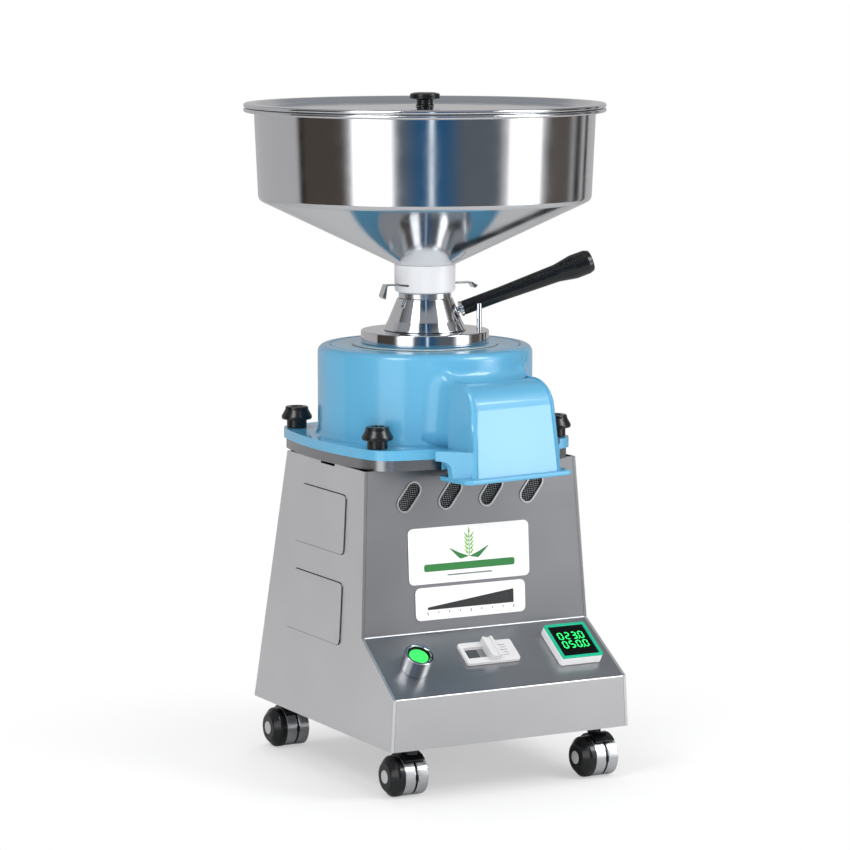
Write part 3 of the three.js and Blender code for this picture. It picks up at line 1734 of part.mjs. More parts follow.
caster("front_right", frontRightCasterX, frontCasterY, -casterTrail);
caster("rear_left", -rearCasterX, rearCasterY, casterTrail);
caster("rear_right", rearCasterX, rearCasterY, casterTrail);

export default root;
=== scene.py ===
"""Finished look of a domestic flour mill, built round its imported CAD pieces."""
import json
import math
import bpy
from bpy.props import FloatProperty, IntProperty, PointerProperty, StringProperty
from mathutils import Matrix, Vector


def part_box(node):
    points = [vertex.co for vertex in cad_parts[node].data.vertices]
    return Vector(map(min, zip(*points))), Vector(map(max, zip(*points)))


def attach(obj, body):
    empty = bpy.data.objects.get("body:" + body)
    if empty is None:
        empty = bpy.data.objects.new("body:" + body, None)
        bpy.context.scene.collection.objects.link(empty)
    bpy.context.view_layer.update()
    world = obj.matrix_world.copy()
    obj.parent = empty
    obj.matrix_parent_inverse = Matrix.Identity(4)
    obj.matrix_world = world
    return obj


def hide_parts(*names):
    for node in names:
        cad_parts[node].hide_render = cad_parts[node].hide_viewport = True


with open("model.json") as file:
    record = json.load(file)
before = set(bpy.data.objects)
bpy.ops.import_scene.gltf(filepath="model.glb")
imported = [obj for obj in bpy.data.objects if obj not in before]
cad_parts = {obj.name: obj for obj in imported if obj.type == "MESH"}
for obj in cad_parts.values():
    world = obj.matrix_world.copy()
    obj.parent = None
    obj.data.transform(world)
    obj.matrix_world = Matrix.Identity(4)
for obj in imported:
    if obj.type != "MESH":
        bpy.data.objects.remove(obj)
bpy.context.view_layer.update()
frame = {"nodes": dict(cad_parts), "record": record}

bl_info = {
    "name": "Domestic flour mill",
    "version": (1, 0, 0),
    "blender": (4, 5, 0),
    "location": "3D Viewport > Sidebar > Flour mill",
    "description": "Builds the finished pieces, materials and studio of a domestic flour mill",
    "category": "Object",
}

MM = 0.001
# Distance under which corners count as one, in metres
DOUBLE = 0.000002
NODES = frame["nodes"]
RECORD = frame["record"]
BODY_OF = {node: body for body, names in RECORD["behaviour"]["bodies"].items() for node in names}
SLOT_OF = {part["node"]: part["material_slot"] for part in RECORD["subparts"]}
CORNERS = ("front_left", "front_right", "rear_left", "rear_right")


# Settings

def length(name, description, default):
    return FloatProperty(name=name, description=description, default=default * MM, unit="LENGTH")


def hex_colour(name, description, default):
    return StringProperty(name=name, description=description, default=default)


class MILL_Sizes(bpy.types.PropertyGroup):
    """Sizes that the finished pieces share."""
    steps: IntProperty(name="Round steps", description="Faces round a large turned piece", default=160)
    small_steps: IntProperty(name="Small steps", description="Faces round a small one", default=64)
    sheet_round: length("Sheet edge", "Rounding of a cut sheet edge", 0.45)
    fold_round: length("Fold", "Inside of a fold in the cabinet sheet", 1.2)
    moulded_round: length("Moulded edge", "Rounding of a moulded edge", 0.7)
    cast_round: length("Cast edge", "Rounding of a cast edge", 2.2)
    hood_turn: length("Hood turn", "Radius of the hood between its top and its face", 32.0)
    floor_radius: length("Floor", "Radius of the studio floor", 2300.0)
    digit_height: length("Digit height", "Height of a digit in the display", 10.2)
    digit_bar: length("Digit bar", "Width of a lit bar", 1.45)
    brush_pitch: length("Brush lines", "Width of a drawn brush line on sheet steel", 1.0)


class MILL_Colours(bpy.types.PropertyGroup):
    """Colours as sRGB hex values."""
    cabinet: hex_colour("Cabinet steel", "Satin sheet of the cabinet", "#D6D6D8")
    mirror: hex_colour("Polished steel", "Hopper, rings and cone", "#DADCDF")
    paint: hex_colour("Housing paint", "Gloss enamel of the casting", "#5CABD2")
    black: hex_colour("Black plastic", "Knobs, grip and cheeks", "#121416")
    white: hex_colour("White plastic", "Collar, switch and display case", "#F5F5F7")
    lens: hex_colour("Button lens", "Lit lens of the start button", "#3DE060")
    teal: hex_colour("Display frame", "Lit frame of the display", "#0FA27E")
    digits: hex_colour("Digits", "Lit bars of the display", "#2AFF7A")
    dark_leaf: hex_colour("Dark leaf", "Darker print of the grain ear", "#1F7A33")
    light_leaf: hex_colour("Light leaf", "Lighter print of the grain ear", "#7DBB2E")


# Materials

def linear(value):
    """An sRGB hex value as a linear colour with alpha."""
    parts = [int(value[i:i + 2], 16) / 255 for i in (1, 3, 5)]
    return (*((c / 12.92 if c <= 0.04045 else ((c + 0.055) / 1.055) ** 2.4) for c in parts), 1.0)


def scaled(colour, factor, lift=0.0):
    """A colour times a factor, with a constant added."""
    return tuple(c * factor + lift for c in colour[:3]) + (1.0,)


def grey(level):
    return (level, level, level, 1.0)


def add(tree, kind, inputs=None, **settings):
    """Adds a node with its fields and its inputs, each a value or a (node, output) to link."""
    node = tree.nodes.new(kind)
    for field, value in settings.items():
        setattr(node, field, value)
    for socket, value in (inputs or {}).items():
        if isinstance(value, tuple) and isinstance(value[0], bpy.types.Node):
            source, output = value
            tree.links.new(source.outputs[output], node.inputs[socket])
        else:
            node.inputs[socket].default_value = value
    return node


def noise(tree, vector, scale, detail, **inputs):
    """Noise over linked coordinates, as a link."""
    inputs = {"Vector": vector, "Scale": scale, "Detail": detail, **inputs}
    return add(tree, "ShaderNodeTexNoise", inputs), "Fac"


def spread(tree, source, low, high, least, most, **settings):
    """Maps a link's low and high to least and most, as a link."""
    inputs = {"Value": source, "From Min": low, "From Max": high, "To Min": least, "To Max": most}
    return add(tree, "ShaderNodeMapRange", inputs, **settings), 0


def calc(tree, operation, *inputs):
    """Sum on links or numbers, as a link."""
    return add(tree, "ShaderNodeMath", dict(enumerate(inputs)), operation=operation), 0


def ramp(tree, source, stops):
    """Colour ramp on a link, with stops of (position, linear colour), as a link."""
    node = add(tree, "ShaderNodeValToRGB", {"Fac": source})
    elements = node.color_ramp.elements
    while len(elements) < len(stops):
        elements.new(0.5)
    for element, (position, colour) in zip(elements, stops):
        element.position = position
        element.color = colour
    return node, "Color"


def blended(tree, share, first, second, **settings):
    """Mix of two colours, as a link."""
    inputs = {0: share, 6: first, 7: second}
    return add(tree, "ShaderNodeMix", inputs, data_type="RGBA", **settings), 2


def mixed(tree, share, first, second):
    """Mix of two shader nodes."""
    return add(tree, "ShaderNodeMixShader", {"Fac": share, 1: (first, 0), 2: (second, 0)})


def relief(tree, height, depth, strength):
    """Bump of a real depth in metres, as a link."""
    return add(tree, "ShaderNodeBump", {"Height": height, "Distance": depth, "Strength": strength}), 0


def begin(name):
    """New empty material; returns it, its tree and a link to its object coordinates."""
    material = bpy.data.materials.new(name)
    material.use_nodes = True
    tree = material.node_tree
    tree.nodes.clear()
    return material, tree, (add(tree, "ShaderNodeTexCoord"), "Object")


def end(material, inputs):
    """Ends a material with a Principled shader on these inputs."""
    shader = add(material.node_tree, "ShaderNodeBsdfPrincipled", inputs)
    add(material.node_tree, "ShaderNodeOutputMaterial", {"Surface": (shader, "BSDF")})
    return material


def brushed_steel(name, tint, along, rough, clouds=0.1, depth=0.15):
    """Stainless sheet ground along one axis: long fine lines, soft cloudy reflections."""
    material, tree, spot = begin(name)
    # Real lines are about 0.1 mm apart, too fine for the render, so they are drawn wider, and
    # sixty times as long as wide.
    stretch = [1 / bpy.context.scene.mill_sizes.brush_pitch] * 3
    stretch[along] /= 60
    lines = add(tree, "ShaderNodeMapping", {"Vector": spot, "Scale": stretch})
    grain = noise(tree, (lines, "Vector"), 1.0, 3.0)
    patch = ramp(tree, noise(tree, spot, 9.0, 2.0), [(0.3, grey(0.55)), (0.7, grey(1.0))])
    return end(material, {
        "Metallic": 1.0,
        "Base Color": blended(tree, clouds, linear(tint), patch, blend_type="MULTIPLY"),
        "Roughness": spread(tree, grain, 0.3, 0.7, rough - 0.04, rough + 0.05),
        "Normal": relief(tree, grain, 0.00002, depth),
    })


def polished_steel(name, tint, rough=0.07):
    """Stainless steel polished to a mirror, with the faint haze of hand buffing."""
    material, tree, spot = begin(name)
    haze = noise(tree, spot, 35.0, 4.0, Roughness=0.6)
    blur = spread(tree, haze, 0.35, 0.75, rough, rough + 0.06)
    return end(material, {"Metallic": 1.0, "Base Color": linear(tint), "Roughness": blur})


def enamel(name, tint):
    """Gloss stove enamel over a casting: a clear skin with a trace of orange peel."""
    material, tree, spot = begin(name)
    # Orange peel waves are about 3 mm long on a sprayed casting.
    peel = noise(tree, spot, 330.0, 1.0)
    return end(material, {
        "Base Color": linear(tint),
        "Roughness": spread(tree, noise(tree, spot, 12.0, 2.0), 0.3, 0.7, 0.3, 0.4),
        "Coat Weight": 0.7,
        "Coat Roughness": 0.06,
        "Normal": relief(tree, peel, 0.00004, 0.18),
    })


def moulded(name, tint, rough, grain=1400.0, strength=0.3, shine=0.5):
    """Injection moulded plastic with a fine spark-eroded grain."""
    material, tree, spot = begin(name)
    grit = noise(tree, spot, grain, 1.0)
    return end(material, {
        "Base Color": linear(tint),
        "IOR": 1.5,
        "Specular IOR Level": shine,
        "Roughness": spread(tree, grit, 0.3, 0.7, rough - 0.05, rough + 0.06),
        "Normal": relief(tree, grit, 0.00003, strength),
    })


def lit(name, tint, glow, rough=0.15):
    """Clear plastic lit from behind, with slightly darker cells in its glow."""
    material, tree, spot = begin(name)
    colour = linear(tint)
    tone = ramp(tree, noise(tree, spot, 160.0, 1.0), [(0.3, scaled(colour, 0.72)), (0.6, colour)])
    return end(material, {
        "Base Color": colour,
        "Roughness": rough,
        "IOR": 1.49,
        "Emission Strength": glow,
        "Emission Color": tone,
    })


def printed(name, tint):
    """Screen print ink on film: flat and slightly glossier than the film."""
    material, tree, spot = begin(name)
    colour = linear(tint)
    ink = noise(tree, spot, 700.0, 2.0)
    tone = ramp(tree, ink, [(0.35, colour), (0.75, scaled(colour, 0.9, 0.03))])
    return end(material, {"Base Color": tone, "Roughness": 0.35, "IOR": 1.5})


def perforated(name, pitch):
    """Blackened woven steel screen, a pitch in metres apart, with painted shade in its troughs and painted
    highlights on its knuckles.
    """
    material, tree, spot = begin(name)
    turn = (0.0, math.radians(35), 0.0)
    mesh = add(tree, "ShaderNodeMapping", {"Vector": spot, "Rotation": turn, "Scale": (1 / pitch,) * 3})
    split = add(tree, "ShaderNodeSeparateXYZ", {"Vector": (mesh, "Vector")})
    waves = [
        calc(tree, "COSINE", calc(tree, "MULTIPLY", (split, axis), math.tau)) for axis in ("X", "Z")
    ]
    weave = calc(tree, "MULTIPLY", *waves)
    # The ramp follows the weave's height: dark troughs are painted shade, bright knuckles painted
    # highlight.
    stops = [(0.0, linear("#1E1F20")), (0.35, linear("#3E4042")), (0.8, linear("#B9BBB9"))]
    return end(material, {
        "Metallic": 0.6,
        "Roughness": 0.45,
        "Base Color": ramp(tree, weave, stops),
        "Normal": relief(tree, weave, 0.0006, 0.6),
    })


def rough_solid(name, dark, light, scale, rough, metal=0.0):
    """Cast, sintered or pressed stock: mottled and matt, with a grain of 1/scale metres."""
    material, tree, spot = begin(name)
    grit = noise(tree, spot, scale, 5.0)
    return end(material, {
        "Metallic": metal,
        "Roughness": rough,
        "Base Color": ramp(tree, grit, [(0.35, linear(dark)), (0.65, linear(light))]),
        "Normal": relief(tree, grit, 0.0003, 0.5),
    })


def make_materials():
    """All finishes by the name of the record's material slot, and some for details."""
    colours = bpy.context.scene.mill_colours
    return {
        "cabinet_steel": brushed_steel("brushed_stainless_sheet", colours.cabinet, 0, 0.34),
        # The side tint is a lighter copy of the cabinet steel, as painted light.
        "lit_side_steel": brushed_steel("brushed_stainless_side_lit", "#EEEEF0", 2, 0.34),
        # The front and slope tints are darker copies of the cabinet steel, as painted shade.
        "shaded_front_steel": brushed_steel("brushed_stainless_front_shaded", "#919295", 0, 0.36, 0.3),
        "shaded_slope_steel": brushed_steel("brushed_stainless_slope_shaded", "#ACADB0", 0, 0.33, 0.2, 0.02),
        # Painted shade for faces that look down.
        "shadow_steel": brushed_steel("stainless_underside_painted_shade", "#5B5C5E", 0, 0.5),
        "polished_steel": polished_steel("polished_stainless", colours.mirror),
        "bowl_steel": polished_steel("spun_stainless", colours.mirror, 0.1),
        "turned_steel": polished_steel("turned_stainless", colours.mirror, 0.2),
        # The band's tint is a darker copy of the polished steel, as painted shade.
        "shaded_band_steel": polished_steel("satin_band_painted_shade", "#A2A4A7", 0.22),
        # Painted shadow for the walls round the hatches and the line round each.
        "hatch_shadow_steel": brushed_steel("painted_hatch_shadow", "#3A3B3D", 2, 0.5),
        "blue_paint": enamel("stove_enamel", colours.paint),
        "black_plastic": moulded("black_phenolic", colours.black, 0.24, strength=0.04),
        "wheel_black": moulded("black_nylon", "#101113", 0.22, strength=0.04),
        "cap_grey": moulded("grey_nylon", "#B9B9BB", 0.35),
        "white_plastic": moulded("white_abs", colours.white, 0.3),
        "switch_white": moulded("ivory_abs", "#DDDCDD", 0.32),
        # Painted shade for the darker patch in the switch window.
        "shadow_plastic": moulded("abs_window_painted_shade", "#4A4D50", 0.4),
        "mid_plastic": moulded("mid_grey_abs", "#85888B", 0.4),
        "green_lens": lit("green_lens_plastic", colours.lens, 0.55),
        "teal_frame": lit("teal_light_frame", colours.teal, 0.4),
        "digit_light": lit("display_segments", colours.digits, 1.0, 0.3),
        "screen": moulded("black_display_window", "#050807", 0.12, 900.0, 0.02, 0.12),
        "label_film": moulded("white_label_film", "#F3F3F4", 0.4, 900.0),
        "print_dark": printed("dark_green_ink", colours.dark_leaf),
        "print_light": printed("light_green_ink", colours.light_leaf),
        "print_grey": printed("grey_ink", "#6B7A76"),
        "print_black": printed("black_ink", "#17191B"),
        "grille": perforated("woven_steel_screen", 0.0032),
        "cast_iron": rough_solid("cast_iron", "#47494B", "#6A6D70", 500.0, 0.55, 0.8),
        "winding": rough_solid("varnished_copper_winding", "#5E2F16", "#A9653A", 260.0, 0.4, 0.7),
        "mill_stone": rough_solid("cast_emery_stone", "#9A9080", "#D0C7B6", 900.0, 0.92),
        "gasket": rough_solid("felt_gasket", "#B4AB99", "#DAD3C4", 700.0, 0.8),
    }


FINISH = {}


def finish(name):
    """A finish, made on first use."""
    if not FINISH:
        FINISH.update(make_materials())
    return FINISH[name]


# Modelling

def deselect():
    if bpy.context.object and bpy.context.object.mode != "OBJECT":
        leave()
    bpy.ops.object.select_all(action="DESELECT")


def pick(piece):
    """Makes one piece the only selected one."""
    deselect()
    piece.select_set(True)
    bpy.context.view_layer.objects.active = piece


def edit(piece):
    """Opens one piece for editing, with all of it selected."""
    pick(piece)
    bpy.ops.object.mode_set(mode="EDIT")
    bpy.ops.mesh.select_all(action="SELECT")


def leave():
    bpy.ops.object.mode_set(mode="OBJECT")


def start(name, corner):
    """A new mesh of one corner, left in edit mode for drawing."""
    deselect()
    bpy.ops.mesh.primitive_plane_add(size=0.01, location=(0, 0, 0))
    piece = bpy.context.object
    piece.name = piece.data.name = name
    edit(piece)
    bpy.ops.mesh.merge(type="CENTER")
    bpy.ops.transform.translate(value=corner)
    return piece


def draw(corners):
    """Draws on from the last corner."""
    for here, there in zip(corners, corners[1:]):
        bpy.ops.mesh.extrude_region_move(TRANSFORM_OT_translate={"value": there - here})


def close_up():
    """Merges doubles and turns the faces outwards, then leaves edit mode."""
    bpy.ops.mesh.select_all(action="SELECT")
    bpy.ops.mesh.remove_doubles(threshold=DOUBLE)
    bpy.ops.mesh.normals_make_consistent(inside=False)
    leave()


def put(piece, place):
    """Moves a piece to its place and keeps the place in its mesh."""
    pick(piece)
    piece.matrix_world = place
    bpy.ops.object.transform_apply(location=True, rotation=True, scale=True)
    return piece


def soft(outline, steps=5, closed=False):
    """Turns an outline's (x, y, round) corners on arcs, and its millimetres into metres."""
    points = []
    count = len(outline)
    for i, corner in enumerate(outline):
        here = Vector(corner[:2]) * MM
        reach = corner[2] * MM if len(corner) > 2 else 0.0
        if not reach or (not closed and i in (0, count - 1)):
            points.append(here)
            continue
        back = (Vector(outline[i - 1][:2]) * MM - here).normalized()
        ahead = (Vector(outline[(i + 1) % count][:2]) * MM - here).normalized()
        half = back.angle(ahead) / 2
        centre = here + (back + ahead).normalized() * (reach / math.sin(half))
        first = here + back * (reach / math.tan(half)) - centre
        last = here + ahead * (reach / math.tan(half)) - centre
        turn = math.atan2(first.cross(last), first.dot(last))
        for k in range(steps + 1):
            points.append(centre + Matrix.Rotation(turn * k / steps, 2) @ first)
    return points


def spun(name, outline, place=None, steps=0, arc_steps=5, closed=False):
    """A turned piece: its (radius, height, round) outline spun round the axis."""
    steps = steps or bpy.context.scene.mill_sizes.small_steps
    flat = soft(outline, arc_steps, closed)
    if closed:
        flat.append(flat[0])
    corners = [Vector((r, 0, z)) for r, z in flat]
    piece = start(name, corners[0])
    draw(corners)
    bpy.ops.mesh.select_all(action="SELECT")
    bpy.ops.mesh.spin(steps=steps, angle=math.tau, center=(0, 0, 0), axis=(0, 0, 1))
    close_up()
    return put(piece, place) if place else piece


def pulled(name, outline, low, high, place=None, arc_steps=5):
    """A flat outline of (x, y, round) corners pulled from low to high, in millimetres."""
    flat = soft(outline, arc_steps, True)
    corners = [Vector((x, y, low * MM)) for x, y in flat + flat[:1]]
    piece = start(name, corners[0])
    draw(corners)
    bpy.ops.mesh.select_all(action="SELECT")
    bpy.ops.mesh.remove_doubles(threshold=DOUBLE)
    bpy.ops.mesh.edge_face_add()
    bpy.ops.mesh.extrude_region_move(TRANSFORM_OT_translate={"value": (0, 0, (high - low) * MM)})
    close_up()
    return put(piece, place) if place else piece


def recast(node, name):
    """A copy of a CAD piece with its loose triangles merged into flat faces."""
    piece = bpy.data.objects.new(name, NODES[node].data.copy())
    bpy.context.scene.collection.objects.link(piece)
    piece.data.name = name
    piece.data.materials.clear()
    edit(piece)
    bpy.ops.mesh.remove_doubles(threshold=0.000005)
    bpy.ops.mesh.dissolve_limited(angle_limit=math.radians(0.6))
    leave()
    return piece


def modify(piece, kind, **settings):
    """Adds a modifier, sets it and applies it."""
    pick(piece)
    modifier = piece.modifiers.new(kind.title(), kind)
    for field, value in settings.items():
        setattr(modifier, field, value)
    bpy.ops.object.modifier_apply(modifier=modifier.name)
    return piece


def ease(piece, width, steps=3, angle=28):
    """Rounds the edges that turn more than an angle."""
    return modify(
        piece,
        "BEVEL",
        width=width,
        segments=steps,
        limit_method="ANGLE",
        angle_limit=math.radians(angle),
        use_clamp_overlap=True,
        miter_outer="MITER_ARC",
    )


def shade(piece, angle=32):
    """Smooth round stretches, with flat faces kept flat next to their rounded edges."""
    pick(piece)
    bpy.ops.object.shade_smooth_by_angle(angle=math.radians(angle))
    return modify(piece, "WEIGHTED_NORMAL", keep_sharp=True, weight=90)


def combine(piece, operation, *others):
    """Unites, cuts or crosses solids with clean edges."""
    for other in others:
        modify(piece, "BOOLEAN", object=other, operation=operation, solver="EXACT")
        bpy.data.objects.remove(other, do_unlink=True)
    return piece


def merge_objects(name, pieces):
    """One object of several closed shells."""
    pick(pieces[0])
    for piece in pieces:
        piece.select_set(True)
    bpy.ops.object.join()
    result = bpy.context.object
    result.name = result.data.name = name
    return result


def dress(piece, material):
    piece.data.materials.clear()
    piece.data.materials.append(finish(material))
    return piece


def dress_where(piece, material, test):
    """Gives the faces that pass the test a second finish."""
    piece.data.materials.append(finish(material))
    for face in piece.data.polygons:
        if test(face):
            face.material_index = len(piece.data.materials) - 1
    return piece


def bevel_where(piece, width, steps, test):
    """Rounds only the edges whose two ends pass the test."""
    edit(piece)
    bpy.ops.mesh.select_mode(type="EDGE")
    bpy.ops.mesh.select_all(action="DESELECT")
    leave()
    corners = piece.data.vertices
    for edge in piece.data.edges:
        edge.select = test(*(corners[i].co for i in edge.vertices))
    bpy.ops.object.mode_set(mode="EDIT")
    bpy.ops.mesh.bevel(offset=width, segments=steps, affect="EDGES")
    bpy.ops.mesh.select_mode(type="VERT")
    leave()
    return piece


def cut_by_plane(piece, point, normal):
    """Cuts away what lies outside a plane and closes the cut."""
    edit(piece)
    bpy.ops.mesh.bisect(plane_co=point, plane_no=normal, use_fill=True, clear_outer=True)
    leave()
    return piece


def stand_for(piece, *names, material=None, angle=32):
    """Shades and finishes a piece that takes the place of CAD nodes."""
    shade(piece, angle)
    dress(piece, material or SLOT_OF[names[0]])
    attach(piece, BODY_OF[names[0]])
    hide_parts(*names)
    return piece


def detail(piece, near, material, slot=None, angle=32):
    """Finishes a small piece that sits on the CAD node near."""
    shade(piece, angle)
    dress(piece, material)
    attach(piece, BODY_OF[near])
    slot or SLOT_OF[near]
    return piece


def shaped(node, name, width=0.0, steps=2, turn=28, material=None, angle=32):
    """A copy of a CAD piece with rounded edges, in its node's place."""
    piece = recast(node, name)
    if width:
        ease(piece, width, steps, turn)
    return stand_for(piece, node, material=material, angle=angle)


def turned(node, name, outline, place=None, material=None, steps=0, arc_steps=5, closed=False):
    """A spun piece in a node's place."""
    piece = spun(name, outline, place, steps, arc_steps, closed)
    return stand_for(piece, node, material=material, angle=40)


def panel_place(low, high):
    """Matrix of a panel: x across, y up the sheet from low, z out of it; (y, z) in millimetres."""
    up = Vector((0, high[0] - low[0], high[1] - low[1])).normalized()
    across = Vector((1, 0, 0)) if low[0] < 0 else Vector((-1, 0, 0))
    turn = Matrix((across, up, across.cross(up))).transposed().to_4x4()
    return Matrix.Translation(Vector((0, low[0], low[1])) * MM) @ turn


# Corners of the cabinet's side view as (y, z) in millimetres, and the panels between them
SLOPE_FOOT, SLOPE_TOP, FRONT_TOP = (-209.1, 119.1), (-124.8, 174.3), (-113.6, 362.7)
BACK_FOOT, BACK_TOP = (146.4, 60), (85.8, 362.7)
SLOPE_LENGTH = math.dist(SLOPE_FOOT, SLOPE_TOP)
UPPER = panel_place(SLOPE_TOP, FRONT_TOP)
SLOPE = panel_place(SLOPE_FOOT, SLOPE_TOP)
BACK = panel_place(BACK_FOOT, BACK_TOP)
# Turns that lay a solid's (x, y, z) down as (z, x, y) and as (x, -z, y)
SIDEWAYS = Matrix(((0, 0, 1, 0), (1, 0, 0, 0), (0, 1, 0, 0), (0, 0, 0, 1)))
FRONTWAYS = Matrix(((1, 0, 0, 0), (0, 0, -1, 0), (0, 1, 0, 0), (0, 0, 0, 1)))


def on(place, x, y, z=0.0):
    """A spot on a panel, in millimetres."""
    return place @ Matrix.Translation(Vector((x, y, z)) * MM)


def oblong(width, height, corner, x=0.0, y=0.0):
    """Corners of a rectangle with rounded corners, round a middle."""
    w, h = width / 2, height / 2
    return [(x + i * w, y + k * h, corner) for i, k in ((-1, -1), (1, -1), (1, 1), (-1, 1))]


# Pieces

class MILL_OT_cabinet(bpy.types.Operator):
    """Folded panels of the cabinet with rounded folds and pressed hatches"""
    bl_idname = "mill.cabinet"
    bl_label = "Cabinet panels"

    # Heights in metres that part the lower face, the slope and the upper sheet, clear of the folds
    FACE_END, SLOPE_END, SHEET_START = 0.1195, 0.1755, 0.18
    # Front, rear foot, rear top, foot and top of each hatch, in millimetres
    HATCHES = ((-72, 62.7, 39, 262, 330), (-72, 75.3, 50.8, 158, 229))
    # Front, foot and top of the field that holds both hatches, and its distance from the back
    FIELD_FRONT, FIELD_FOOT, FIELD_TOP, FIELD_GAP = -76, 155, 334, 8
    # Side sheets: place across of their top edge, rise of their normal, width and corner of the painted
    # shadow line round a hatch
    SIDE_TOP, SIDE_RISE, SEAM, SEAM_CORNER = 137.4, 0.0535, 0.9, 7

    def execute(self, context):
        sizes = context.scene.mill_sizes
        front = recast("front_panel", "front_panel_sheet")
        bevel_where(front, sizes.fold_round, 5, self.fold)
        ease(front, sizes.sheet_round, 2, 30)
        stand_for(front, "front_panel", angle=40)
        # The upper sheet and the slope take darker tints of the same steel than the lower face, as painted
        # shade; the vent rims are brighter.
        dress_where(front, "shaded_front_steel", lambda face: face.center.z > self.SLOPE_END)
        dress_where(front, "shaded_slope_steel", lambda face: self.FACE_END < face.center.z < self.SLOPE_END)
        dress_where(front, "polished_steel", self.vent_rim)
        for side, way in (("left", -1), ("right", 1)):
            node = f"{side}_side_panel"
            # The side sheets take the lighter steel as painted light, and their front fold the darker front
            # steel as painted shade.
            panel = shaped(node, f"{side}_side_sheet", sizes.sheet_round * 1.3, 3, 25, "lit_side_steel", 40)
            # Painted shadow: the hatch walls and a narrow line round each hatch take a dark steel.
            dress_where(panel, "hatch_shadow_steel", self.hatch_wall)
            dress_where(panel, "shaded_front_steel", self.front_fold)
            painted_rings = [self.seam(way, *hatch) for hatch in self.HATCHES]
            detail(merge_objects(f"{side}_hatch_shade_lines", painted_rings), node, "hatch_shadow_steel")
        shaped("back_panel", "back_panel_sheet", sizes.sheet_round)
        shaped("base_plate", "base_sheet", sizes.sheet_round)
        shaped("vent_grille", "vent_screen", material="grille")
        return {"FINISHED"}

    @staticmethod
    def fold(a, b):
        """Tells the long level edges of the front panel's folds."""
        return abs(a.z - b.z) < 0.0002 and abs(a.x - b.x) > 0.2 and 0.09 < a.z < 0.2

    def vent_rim(self, face):
        """Tells the faces that stand off the upper sheet."""
        return (UPPER.inverted() @ face.center).z > 0.0002 and face.center.z > self.SHEET_START

    def front_fold(self, face):
        """Tells the side sheet's fold beside the upper sheet."""
        return face.normal.y < -0.6 and face.center.z > self.SHEET_START

    def hatch_wall(self, face):
        """Tells the steep faces round the two pressed hatches, which stay in shadow."""
        _, y, z = face.center / MM
        # The back leans forward by 0.2 of its height, and the faces of its fold are left out.
        rear = BACK_FOOT[0] - 0.2 * (z - BACK_FOOT[1]) - self.FIELD_GAP
        inside = self.FIELD_FRONT < y < rear and self.FIELD_FOOT < z < self.FIELD_TOP
        return inside and abs(face.normal.x) < 0.75

    def seam(self, way, front, rear_low, rear_high, low, high):
        """Narrow line of painted shadow round a hatch, a hair proud of the side sheet."""
        rings = []
        for grow in (self.SEAM, 0.0):
            corner = self.SEAM_CORNER + grow
            outline = [
                (front - grow, low - grow, corner), (rear_low + grow, low - grow, corner),
                (rear_high + grow, high + grow, corner), (front - grow, high + grow, corner),
            ]
            rings.append(pulled("seam", outline, *sorted((0, way * 180)), SIDEWAYS))
        ring = combine(rings[0], "DIFFERENCE", rings[1])
        out = Vector((way, 0, self.SIDE_RISE)).normalized()
        point = Vector((way * self.SIDE_TOP, 0, FRONT_TOP[1])) * MM
        cut_by_plane(ring, point + out * 0.00008, out)
        return cut_by_plane(ring, point - out * 0.0004, -out)


class MILL_OT_band(bpy.types.Operator):
    """Satin band under the grinding head, in a darker tint and darker still below, both as painted shade"""
    bl_idname = "mill.band"
    bl_label = "Steel band"

    def execute(self, context):
        width = context.scene.mill_sizes.sheet_round
        # The band takes a darker steel tint as painted shade.
        band = shaped("top_frame", "polished_band", width, 2, 40, "shaded_band_steel", 40)
        # Painted shade: the faces that look down take a dark steel.
        dress_where(band, "shadow_steel", lambda face: face.normal.z < -0.5)
        return {"FINISHED"}


